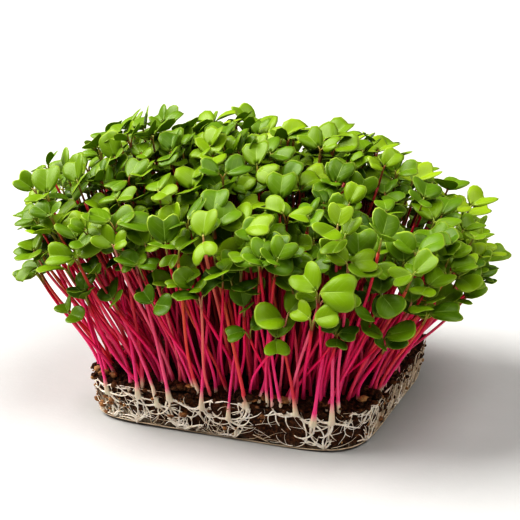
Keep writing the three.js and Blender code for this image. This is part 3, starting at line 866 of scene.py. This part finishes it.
def band_faces(lower, upper):
    """Faces between two rings of vertices, each given as its first vertex and its count."""
    (a, n), (b, m) = lower, upper
    if n == 1:
        return [[a, b + (k + 1) % m, b + k] for k in range(m)]
    if m == 1:
        return [[a + k, a + (k + 1) % n, b] for k in range(n)]
    return [[a + k, a + (k + 1) % n, b + (k + 1) % n, b + k] for k in range(n)]


def ball(subdivisions):
    """Vertices and faces of a unit sphere."""
    mesh = bmesh.new()
    bmesh.ops.create_icosphere(mesh, subdivisions=subdivisions, radius=1)
    points = np.array([v.co for v in mesh.verts])
    faces = [[v.index for v in f.verts] for f in mesh.faces]
    mesh.free()
    return points, faces


def crumb(kind, sphere, radius, draws):
    """Points of a bumpy ball, squeezed and turned by chance, about the origin."""
    squeeze = np.array([kind.long, draws.more(*kind.wide), draws.more(*kind.high)])
    bumpy = 1 + kind.bumps * fractal(sphere + 100 * draws(), kind.scale, 2)
    turned = Matrix.Rotation(ROUND * draws(), 3, "Z") @ Matrix.Rotation(kind.tilt * draws(), 3, "X")
    return (sphere * bumpy[:, None] * squeeze * radius) @ np.array(turned).T


def laid(points, place, turn, lift):
    """Points turned by some degrees and laid on the top of the block, their middle so far above it."""
    turned = np.array(Matrix.Rotation(math.radians(turn), 3, "Z"))
    return points @ turned.T + np.array([*place, top_height(*place) + lift])


CLODS = SimpleNamespace(
    seed=5, loose=900, radius=(0.45, 1.15, 3),
    heaped=360, heaped_size=1.3, gathered=0.7, heap_depth=0.5,
    inward=(0, 13, 1.6), sunk=0.2,  # how far in from the brim they lie
    side_to=1.5, side=(16.6, -9, 2), proud=0.3,  # those nearer to the brim are on the side: their heights
    long=1, wide=(0.65, 0.4), high=(0.5, 0.4), bumps=0.35, scale=1.1, tilt=1,
)
HEAPS = (  # middle, width and height of the heaps of crumbs at the front
    (16, -55, 9, 3.4), (-51, -46, 7, 2.2), (44, -52, 7, 2.0), (-14, -54.5, 8, 1.6), (56, -34, 7, 1.8),
)


def add_clods(shape):
    """Loose crumbs of mix on the top and the shoulders of the block, and heaps of them at the front."""
    draws = Draws(CLODS.seed)
    sphere, faces = ball(2)
    for number in range(CLODS.loose + CLODS.heaped):
        angle = draws.angle()
        inward = draws.more(*CLODS.inward)
        radius = draws.more(*CLODS.radius)
        distance = brim_distance(angle) - inward
        x, y = distance * math.cos(angle), distance * math.sin(angle)
        if inward > CLODS.side_to:
            place = np.array([x, y, top_height(x, y) - CLODS.sunk])
        else:
            place = side_point(angle, draws.more(*CLODS.side), CLODS.proud)
        if number >= CLODS.loose:
            heap_x, heap_y, wide, high = HEAPS[number % len(HEAPS)]
            away, about = wide * draws() ** CLODS.gathered, ROUND * draws()
            x = heap_x + away * math.cos(about)
            y = heap_y + CLODS.heap_depth * away * math.sin(about)
            place = np.array([x, y, top_height(x, y) + high * (1 - (away / wide) ** 2) * draws()])
            radius *= CLODS.heaped_size
        points = crumb(CLODS, sphere, radius, draws) + place
        shape.add(points, faces, soil=np.array([0.0, draws(), draws()]))


# -------- roots
WEB = SimpleNamespace(
    seed=21, proud=0.6, proud_share=(0.3, 1.1), step=1.0, curl=0.24, jitter=0.16,
    low=0.8, high=16.4,  # heights that the roots keep between
    level=0.2,  # how much of its slope a root keeps that comes to one of those
    sides=5, least=4,  # of a root's tube, and the fewest places on its path
    branches=2, branching=0.75, branch_at=(0.2, 0.6), branch_turn=(0.5, 0.5),
    shorter=(0.4, 0.75), thinner=0.6, tip=0.4,  # a branch beside its root, and a tip beside its foot
    fan=2.2, fan_jitter=0.15,  # radians: how wide a fan of roots spreads, and how unevenly
)
RING = SimpleNamespace(height=0.9, wave=0.5, waves=0.11, points=200, radius=0.3, proud=0.5, tone=0.3)
# Kinds of roots: how many, their heights, headings, lengths and thicknesses, whether they branch, and
# how old and brown or new and white. The roots of a fan start from one place.
AT_FOOT = SimpleNamespace(
    count=60, height=(1, 4), heading=(-0.4, 0.4), length=(6, 14), thick=(0.12, 0.26), depth=1, tone=(0, 1),
)
ARCS = SimpleNamespace(
    count=46, height=(5, 14), length=(8, 18), thick=(0.13, 0.26), depth=1, tone=(0, 1),
)
RIGHT_SIDE = SimpleNamespace(  # dense and slanting, between two angles round the block
    count=100, round=(-0.62, 0.62), height=(1, 9), heading=(0.6, 1.2), length=(8, 16),
    thick=(0.16, 0.36), depth=0, tone=(0.1, 0.6),
)
KNOTS = SimpleNamespace(
    count=16, height=(1, 2.6), roots=4, length=(5, 10), thick=(0.4, 0.65), depth=1, tone=(0.75, 1),
)
UNDER_BRIM = SimpleNamespace(
    count=12, height=15.8, roots=3, length=(8, 16), thick=(0.3, 0.5), depth=1, tone=(0.75, 1),
)
UNDER_CROWN = SimpleNamespace(
    above=0.4, roots=4, length=(8, 16), thick=(0.4, 0.62), depth=1, tone=(0.75, 1),
)


def surface_walk(angle, z, heading, length, draws, proud):
    """A root's path over the side of the block, from a place on it, along an arc."""
    path = [side_point(angle, z, proud)]
    curl = WEB.curl * draws.aside()
    for _ in range(int(length / WEB.step)):
        heading += curl + WEB.jitter * draws.aside()
        z += WEB.step * math.sin(heading)
        angle += WEB.step * math.cos(heading) / brim_distance(angle)
        if not WEB.low < z < WEB.high:
            z, heading, curl = np.clip(z, WEB.low, WEB.high), heading * WEB.level, 0.0
        path.append(side_point(angle, z, proud))
    return np.array(path)


def add_root(shape, path, thick, thin, tone):
    points, faces, step = tube(path, np.linspace(thick, thin, len(path)), WEB.sides)
    place = np.stack([step / len(path), np.full(len(step), tone), np.zeros(len(step))], 1)
    shape.add(points, faces, root=place)


def add_branching_root(shape, angle, z, heading, length, thick, depth, draws, tone):
    """A root and the finer ones that leave it."""
    path = surface_walk(angle, z, heading, length, draws, WEB.proud * draws.between(*WEB.proud_share))
    if len(path) < WEB.least:
        return
    add_root(shape, path, thick, thick * WEB.tip, tone)
    for _ in range(WEB.branches if depth and draws() < WEB.branching else 0):
        start = path[int(draws.more(*WEB.branch_at) * (len(path) - 1))]
        turn = heading + draws.more(*WEB.branch_turn) * (1 if draws() < 0.5 else -1)
        add_branching_root(
            shape, math.atan2(start[1], start[0]), start[2], turn, length * draws.between(*WEB.shorter),
            thick * WEB.thinner, depth - 1, draws, tone,
        )


def add_strand(shape, kind, angle, z, heading, draws):
    """A root of a kind, with what branches from it."""
    add_branching_root(
        shape, angle, z, heading, draws.between(*kind.length), draws.between(*kind.thick), kind.depth,
        draws, draws.between(*kind.tone),
    )


def add_fan(shape, kind, angle, z, towards, draws):
    """Roots that spread from one place, down from a crown or up from a knot at the foot."""
    for number in range(kind.roots):
        heading = towards + (number / (kind.roots - 1) - 0.5) * WEB.fan
        heading += draws.between(-WEB.fan_jitter, WEB.fan_jitter)
        add_strand(shape, kind, angle, z, heading, draws)


def make_root_web():
    """Roots that the tray pressed against the sides and foot of the block."""
    shape, draws = Shape("root"), Draws(WEB.seed)
    down, up = -math.pi / 2, math.pi / 2
    ring = [
        side_point(
            2 * math.pi * i / RING.points, RING.height + RING.wave * math.sin(i * RING.waves), RING.proud,
        )
        for i in range(RING.points + 1)
    ]
    add_root(shape, np.array(ring), RING.radius, RING.radius, RING.tone)
    for _ in range(AT_FOOT.count):
        heading = draws.between(*AT_FOOT.heading) + math.pi * (draws() < 0.5)
        add_strand(shape, AT_FOOT, draws.angle(), draws.between(*AT_FOOT.height), heading, draws)
    for _ in range(ARCS.count):
        add_strand(shape, ARCS, draws.angle(), draws.between(*ARCS.height), draws.angle(), draws)
    for _ in range(KNOTS.count):
        add_fan(shape, KNOTS, draws.angle(), draws.between(*KNOTS.height), up, draws)
    for _ in range(UNDER_BRIM.count):
        add_fan(shape, UNDER_BRIM, draws.angle(), UNDER_BRIM.height, down, draws)
    for x, z, *_ in EDGE_SEEDLINGS:
        add_fan(shape, UNDER_CROWN, front_angle(x, z), z + UNDER_CROWN.above, down, draws)
    for _ in range(RIGHT_SIDE.count):
        angle, z = draws.between(*RIGHT_SIDE.round), draws.between(*RIGHT_SIDE.height)
        add_strand(shape, RIGHT_SIDE, angle, z, draws.between(*RIGHT_SIDE.heading), draws)
    return shape


# -------- nuggets and bark chips
NUGGETS = SimpleNamespace(
    seed=29, count=150, radius=(0.5, 1.2, 2.5), side=(2, 14.5, 0.7), proud=0.35,
    corner=222, spread=16, clustered=0.4,  # degrees: many lie about the left front corner
    long=1.1, wide=(0.5, 0.3), high=(0.4, 0.5), bumps=0.3, scale=1.2, tilt=3,
)
SPLINTER = SimpleNamespace(stretch=(1, 3, 3), rough=0.18, scale=1.3, lift=0.3, split=0.12, splits=7)
LUMP = SimpleNamespace(stretch=(1, 2, 2), rough=0.3, scale=1.3, lift=0.25)  # the large nuggets
LARGE_NUGGETS = (  # place on the block, its length, width and thickness, turn in degrees, how pale it is
    ((26.5, -53.8), (9.5, 4.0, 3.0), -8, 0.85),
    ((17.0, -55.0), (7.0, 5.0, 3.0), 70, 0.1),
    ((-53.0, -47.0), (6.0, 3.6, 3.0), 50, 0.9),
    ((-56.5, -41.0), (5.0, 3.4, 2.6), 80, 0.7),
    ((-49.0, -51.5), (5.5, 3.0, 2.6), 20, 0.5),
    ((-56.5, -33.0), (4.6, 3.4, 2.6), 110, 1.0),
    ((-44.0, -53.0), (4.5, 3.0, 2.4), -30, 0.3),
    ((-10.0, -54.5), (5.0, 3.6, 2.4), 15, 0.2),
    ((44.0, -52.5), (5.5, 3.4, 2.4), -20, 0.4),
    ((55.5, -42.0), (5.0, 3.0, 2.4), 65, 0.8),
    ((57.0, -20.0), (5.0, 3.2, 2.4), 95, 0.6),
    ((56.5, 8.0), (5.5, 3.2, 2.6), 80, 0.8),
)


def make_nuggets():
    """Small bits of bark, tan and orange, caught in the side of the block and on its shoulder."""
    shape, draws = Shape("root"), Draws(NUGGETS.seed)
    sphere, faces = ball(2)
    for _ in range(NUGGETS.count):
        angle = draws.angle()
        if draws() < NUGGETS.clustered:
            angle = math.radians(NUGGETS.corner + NUGGETS.spread * (draws() + draws() + draws() - 1.5))
        place = side_point(angle, draws.more(*NUGGETS.side), NUGGETS.proud)
        points = crumb(NUGGETS, sphere, draws.more(*NUGGETS.radius), draws) + place
        shape.add(points, faces, root=np.array([0.0, draws(), 0.0]))
    for place, size, turn, kind in LARGE_NUGGETS:
        points = sphere * np.array(size) / 2
        points *= 1 + LUMP.rough * fractal(sphere * LUMP.stretch + place[0], LUMP.scale)[:, None]
        points = laid(points, place, turn, size[2] * LUMP.lift)
        shape.add(points, faces, root=np.array([0.0, kind, 0.0]))
    piece = shape.make("bark_nuggets", MATERIALS.bark, "bark")
    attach(piece, "root")


def make_chip(index, chip):
    """A splinter of bark: rough, split along its length, thinner at its ends."""
    place, size, turn = chip
    sphere, faces = ball(4)
    points = sphere * (np.array(size) / 2)
    rough = fractal(sphere * SPLINTER.stretch + 7.0 * index, SPLINTER.scale)
    points *= 1 + SPLINTER.rough * rough[:, None]
    points[:, 2] += SPLINTER.split * np.sin(points[:, 1] * SPLINTER.splits + points[:, 0])
    points = laid(points, place, turn, size[2] * SPLINTER.lift)
    shape = Shape("root")
    shape.add(points, faces, root=np.array([0.0, 0.2 * index, 1.0]))
    name = f"bark_chip_{index + 1}"
    piece = shape.make(name + "_fine", MATERIALS.bark, "bark")
    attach(piece, "root")
    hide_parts(name)


# -------- materials
class Material:
    """A node material, built one node at a time."""

    def __init__(self, name):
        self.material = bpy.data.materials.new(name)
        self.material.use_nodes = True
        self.tree = self.material.node_tree
        self.tree.nodes.clear()

    def node(self, kind, inputs=None, **settings):
        made = self.tree.nodes.new("ShaderNode" + kind)
        for setting, value in settings.items():
            setattr(made, setting, value)
        for socket, value in (inputs or {}).items():
            if isinstance(value, bpy.types.NodeSocket):
                self.tree.links.new(value, made.inputs[socket])
            else:
                made.inputs[socket].default_value = value
        return made

    def math(self, operation, a, b=0.0, clamp=False):
        return self.node("Math", {0: a, 1: b}, operation=operation, use_clamp=clamp).outputs[0]

    def times(self, a, b):
        return self.math("MULTIPLY", a, b)

    def rest(self, value):
        """What is left of 1."""
        return self.math("SUBTRACT", 1.0, value)

    def values(self, name):
        """The three numbers of a vector attribute."""
        attribute = self.node("Attribute", attribute_name=name)
        split = self.node("SeparateXYZ", {0: attribute.outputs["Vector"]})
        return split.outputs[0], split.outputs[1], split.outputs[2]

    def ramp(self, factor, *stops):
        """A colour ramp, each stop a place and a linear colour."""
        made = self.node("ValToRGB", {0: factor})
        elements = made.color_ramp.elements
        for element, (place, colour) in zip(elements, (stops[0], stops[-1])):
            element.position = place
            element.color = (*colour, 1)
        for place, colour in stops[1:-1]:
            elements.new(place).color = (*colour, 1)
        return made.outputs[0]

    def mix(self, factor, a, b):
        return self.node("MixRGB", {0: factor, 1: a, 2: b}).outputs[0]

    def tints(self, body, *layers):
        """Colours laid over each other, each with a value that says where and a strength."""
        for where, strength, colour in layers:
            body = self.mix(self.times(where, strength), body, (*colour, 1))
        return body

    def noise(self, scale, detail=3.0, roughness=0.55):
        place = self.node("TexCoord").outputs["Object"]
        inputs = {"Vector": place, "Scale": scale, "Detail": detail, "Roughness": roughness}
        return self.node("TexNoise", inputs).outputs["Fac"]

    def band(self, value, low, high):
        """From 0 below low to 1 above high."""
        made = self.node("MapRange", {0: value, 1: low, 2: high}, interpolation_type="SMOOTHSTEP")
        return made.outputs[0]

    def bump(self, height, distance, strength):
        made = self.node("Bump", {"Height": height, "Distance": distance, "Strength": strength})
        return made.outputs[0]

    def surface(self, colour, roughness, normal, **others):
        """The main shader. The others are its sockets, with _ for a space."""
        sockets = {name.replace("_", " "): value for name, value in others.items()}
        sockets.update({"Base Color": colour, "Roughness": roughness, "Normal": normal})
        return self.node("BsdfPrincipled", sockets).outputs[0]

    def finish(self, shader):
        self.node("OutputMaterial", {0: shader})
        return self.material


def leaf_material():
    """Seed leaves: soft green with a paler midrib, faint side veins and a thin yellow-green rim."""
    m = Material("seed_leaf")
    x, y, rim = m.values("leaf_place")
    hue, under, shade = m.values("leaf_kind")
    side = m.math("ABSOLUTE", y)
    body = m.ramp(
        hue,
        (0.0, (0.038, 0.092, 0.0012)),
        (0.35, (0.135, 0.24, 0.003)),
        (0.65, (0.245, 0.37, 0.005)),
        (1.0, (0.42, 0.545, 0.022)),
    )
    blotches = m.band(m.noise(260.0, 4.0), 0.35, 0.7)
    midrib = m.times(m.rest(m.band(side, 0.004, 0.022)), m.rest(m.band(x, 0.45, 0.8)))
    across = m.math("SUBTRACT", x, m.times(side, 0.95))
    waves = m.math("PINGPONG", m.times(across, 5.0), 0.5)
    veins = m.times(m.rest(m.band(waves, 0.015, 0.085)), m.rest(m.band(rim, 0.6, 0.9)))
    lines = m.math("MAXIMUM", midrib, m.times(veins, 0.32))
    edge, foot = m.band(rim, 0.93, 0.995), m.rest(m.band(x, 0.0, 0.16))
    body = m.tints(
        body,
        (blotches, 0.2, (0.25, 0.40, 0.012)),
        (lines, 0.55, (0.42, 0.58, 0.13)),
        (edge, 0.7, (0.55, 0.68, 0.12)),
        (foot, 0.6, (0.50, 0.60, 0.12)),
        (under, 0.35, (0.25, 0.42, 0.03)),
        (shade, 0.25, (0.06, 0.17, 0.004)),
    )
    relief = m.math("ADD", m.times(lines, -1.0), m.times(m.noise(900.0, 2.0), 0.5))
    normal = m.bump(relief, 0.00012, 0.55)
    gloss = m.math("ADD", 0.26, m.times(m.noise(700.0, 2.0), 0.22))
    surface = m.surface(body, gloss, normal, Specular_IOR_Level=0.26)
    glow = m.mix(0.5, body, (0.50, 0.66, 0.02, 1))
    through = m.node("BsdfTranslucent", {"Color": glow, "Normal": normal}).outputs[0]
    return m.finish(m.node("MixShader", {0: 0.2, 1: surface, 2: through}).outputs[0])


def stem_material():
    """Stems: white at the foot, magenta or salmon along their length, green-brown at the fork, with painted
    shade on the inner ones and a paler pink, partly painted light, on some outer ones.
    """
    m = Material("seedling_stem")
    along, warm, pale = m.values("stem")
    place = m.times(along, 0.5)
    pink = m.ramp(
        place,
        (0.0, (0.84, 0.76, 0.60)),
        (0.018, (0.82, 0.68, 0.50)),
        (0.045, (0.90, 0.08, 0.29)),
        (0.30, (0.86, 0.020, 0.17)),
        (0.42, (0.60, 0.020, 0.05)),
        (0.50, (0.27, 0.055, 0.022)),
        (0.64, (0.24, 0.15, 0.03)),
        (1.0, (0.34, 0.46, 0.08)),
    )
    salmon = m.ramp(
        place,
        (0.0, (0.84, 0.76, 0.60)),
        (0.018, (0.78, 0.58, 0.42)),
        (0.05, (0.78, 0.07, 0.11)),
        (0.25, (0.80, 0.14, 0.085)),
        (0.42, (0.66, 0.18, 0.07)),
        (0.50, (0.38, 0.15, 0.04)),
        (0.64, (0.32, 0.22, 0.04)),
        (1.0, (0.36, 0.47, 0.08)),
    )
    body = m.mix(m.band(warm, 0.5, 0.95), pink, salmon)
    streaks = m.band(m.noise(420.0, 3.0), 0.45, 0.75)
    red = m.band(along, 0.05, 0.14)  # how far the red of the stem has come in above its white foot
    # Partly the stems' own tone and partly painted light: some of the outer stems, drawn by chance, are a
    # paler pink.
    light = m.times(m.band(pale, 0.7, 1.0), red)
    # Painted shade: stems further inside the stand are a deeper red.
    inner_painted_shade = m.times(m.rest(m.band(pale, -0.9, 0.3)), red)
    body = m.tints(
        body,
        (streaks, 0.16, (0.74, 0.20, 0.26)),
        (light, 0.5, (0.92, 0.30, 0.36)),
        (inner_painted_shade, 0.8, (0.22, 0.002, 0.02)),
    )
    return m.finish(m.surface(
        body, 0.34, m.bump(m.noise(1500.0, 2.0), 0.00008, 0.5), Specular_IOR_Level=0.26,
        Subsurface_Weight=0.15, Subsurface_Radius=(0.0012, 0.0004, 0.0005), Subsurface_Scale=1.0,
    ))


def soil_material():
    """Damp peat and bark mix, with the pale film of roots that the tray left on its foot."""
    m = Material("potting_mix")
    film, patch, loose = m.values("soil")
    grains = m.noise(900.0, 6.0, 0.7)
    body = m.ramp(
        grains,
        (0.30, (0.008, 0.004, 0.002)),
        (0.46, (0.045, 0.017, 0.007)),
        (0.58, (0.15, 0.055, 0.019)),
        (0.72, (0.40, 0.16, 0.050)),
    )
    rusty = m.band(m.noise(240.0, 3.0), 0.52, 0.68)
    threads = m.band(m.noise(520.0, 5.0, 0.75), 0.40, 0.56)
    body = m.tints(
        body,
        (rusty, 0.6, (0.17, 0.062, 0.022)),
        (patch, 0.35, (0.02, 0.011, 0.007)),
        (m.band(loose, 0.8, 1.0), 0.5, (0.26, 0.12, 0.045)),
        (film, threads, (0.60, 0.53, 0.40)),
    )
    relief = m.math("ADD", m.noise(620.0, 6.0, 0.75), m.times(m.noise(2600.0, 3.0, 0.6), 0.5))
    damp = m.math("ADD", 0.45, m.times(m.noise(300.0, 3.0), 0.6))
    return m.finish(m.surface(body, damp, m.bump(relief, 0.0011, 0.9), Specular_IOR_Level=0.25))


def root_material():
    """Roots: creamy white, browner where they are old."""
    m = Material("root")
    along, tone, _ = m.values("root")
    body = m.ramp(
        tone,
        (0.0, (0.52, 0.36, 0.22)),
        (0.4, (0.77, 0.63, 0.48)),
        (1.0, (0.95, 0.86, 0.75)),
    )
    stains = m.band(m.noise(380.0, 3.0), 0.5, 0.72)
    body = m.tints(body, (stains, 0.55, (0.36, 0.22, 0.11)))
    return m.finish(m.surface(
        body, 0.5, m.bump(m.noise(2200.0, 2.0), 0.0001, 0.5),
        Subsurface_Weight=0.2, Subsurface_Radius=(0.0008, 0.0006, 0.0004), Subsurface_Scale=1.0,
    ))


def bark_material():
    """Bark and husk: tan and brown fibres along the chip."""
    m = Material("bark")
    place = m.node("TexCoord").outputs["Object"]
    stretched = m.node("Mapping", {0: place, 3: (400.0, 1400.0, 900.0)}).outputs[0]
    fibres = m.node("TexNoise", {"Vector": stretched, "Scale": 1.0, "Detail": 5.0}).outputs["Fac"]
    _, kind, _ = m.values("root")
    body = m.ramp(
        fibres,
        (0.3, (0.07, 0.028, 0.012)),
        (0.5, (0.26, 0.11, 0.035)),
        (0.68, (0.48, 0.24, 0.085)),
    )
    body = m.tints(body, (m.band(kind, 0.5, 0.95), 0.5, (0.62, 0.36, 0.15)))
    return m.finish(m.surface(body, 0.7, m.bump(fibres, 0.0006, 0.9)))


def floor_material():
    """A pale plastered surface with the faintest cloudiness."""
    m = Material("pale_floor")
    clouds = m.band(m.noise(9.0, 5.0, 0.6), 0.3, 0.75)
    body = m.mix(clouds, (0.435, 0.433, 0.429, 1), (0.468, 0.467, 0.464, 1))
    specks = m.band(m.noise(160.0, 4.0, 0.7), 0.55, 0.8)
    body = m.tints(body, (specks, 0.08, (0.62, 0.60, 0.57)))
    normal = m.bump(m.noise(260.0, 4.0, 0.6), 0.0004, 0.25)
    return m.finish(m.surface(body, 0.8, normal, Specular_IOR_Level=0.2))


# -------- camera, floor and light
CAMERA = SimpleNamespace(
    azimuth=21.6, elevation=14.7, distance=505,  # degrees, and millimetres from the point below
    aside=5.8, above=62.0,  # where that point shows, in image points right of and above the middle
    height=30, focal=1200, frame=520, sensor=36,
)


def make_camera():
    a, e = math.radians(CAMERA.azimuth), math.radians(CAMERA.elevation)
    back = np.array([math.sin(a) * math.cos(e), -math.cos(a) * math.cos(e), math.sin(e)])
    right = np.array([math.cos(a), math.sin(a), 0.0])
    up = np.cross(back, right)
    scale = CAMERA.distance / CAMERA.focal
    place = back * CAMERA.distance - right * CAMERA.aside * scale + up * CAMERA.above * scale
    place[2] += CAMERA.height
    data = bpy.data.cameras.new("camera")
    data.sensor_width = CAMERA.sensor
    data.sensor_height = CAMERA.sensor
    data.lens = CAMERA.focal / CAMERA.frame * CAMERA.sensor
    data.clip_start = 0.01
    camera = add_object("camera", data)
    axes = Matrix(np.stack([right, up, back], 1).tolist()).to_4x4()
    camera.matrix_world = Matrix.Translation(Vector(place * MM)) @ axes
    bpy.context.scene.camera = camera


FLOOR = SimpleNamespace(radius=20000, sides=96)


def make_floor():
    turns = 2 * math.pi * np.arange(FLOOR.sides) / FLOOR.sides
    ring = np.stack([np.cos(turns), np.sin(turns), np.zeros(FLOOR.sides)], 1) * FLOOR.radius
    mesh = bpy.data.meshes.new("floor")
    mesh.from_pydata((ring * MM).tolist(), [], [list(range(FLOOR.sides))])
    mesh.materials.append(floor_material())
    floor = add_object("floor", mesh)


LIGHTS = (  # name, way it shines, strength, width in degrees, colour
    ("window_light", (0.9, 0.15, -1.0), 4.8, 52, (1.0, 0.985, 0.96)),
    ("room_light", (-0.7, 0.1, -1.5), 1.9, 50, (1.0, 0.99, 0.97)),
)
WORLD = SimpleNamespace(colour=(1.0, 0.995, 0.985), strength=0.21)


def make_light():
    world = bpy.data.worlds.new("studio")
    world.use_nodes = True
    background = world.node_tree.nodes["Background"]
    background.inputs["Color"].default_value = (*WORLD.colour, 1)
    background.inputs["Strength"].default_value = WORLD.strength
    bpy.context.scene.world = world
    for name, towards, strength, width, colour in LIGHTS:
        sun = bpy.data.lights.new(name, "SUN")
        sun.energy = strength
        sun.angle = math.radians(width)
        sun.color = colour
        light = add_object(name, sun)
        light.rotation_euler = Vector(towards).to_track_quat("-Z", "Y").to_euler()
    bpy.context.scene.view_settings.view_transform = "Standard"
    bpy.context.scene.view_settings.look = "High Contrast"


# -------- the whole stand
MATERIALS = SimpleNamespace(
    leaf=leaf_material(),
    stem=stem_material(),
    soil=soil_material(),
    root=root_material(),
    bark=bark_material(),
)
BETWEEN_GROUPS = 10

make_camera()
make_floor()
make_light()

part_draws = Draws(PART_SEED)
tufts = tuft_places(part_draws)
stand = Stand()
plant_featured(tufts)
grow_tufts(tufts, stand, part_draws)
between = grow_between(tufts, stand)
between += grow_edge()
give_looks([s for tuft in tufts for s in tuft.seedlings] + between)

for number, tuft in enumerate(tufts, 1):
    make_seedlings(f"tuft_{number:02d}", tuft.seedlings, f"seedling_tuft_{number:02d}")
between.sort(key=lambda seedling: math.atan2(seedling.base[1], seedling.base[0]))
for number in range(BETWEEN_GROUPS):
    make_seedlings(f"between_{number + 1:02d}", between[number::BETWEEN_GROUPS], None)

soil_shape = make_soil()
add_clods(soil_shape)
soil = soil_shape.make("potting_mix", MATERIALS.soil, "potting_mix")
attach(soil, "root")
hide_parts("soil_block")
web = make_root_web().make("root_web", MATERIALS.root, "roots")
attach(web, "root")
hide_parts("root_mat")
for chip_index, chip_facts in enumerate(CHIPS):
    make_chip(chip_index, chip_facts)
make_nuggets()
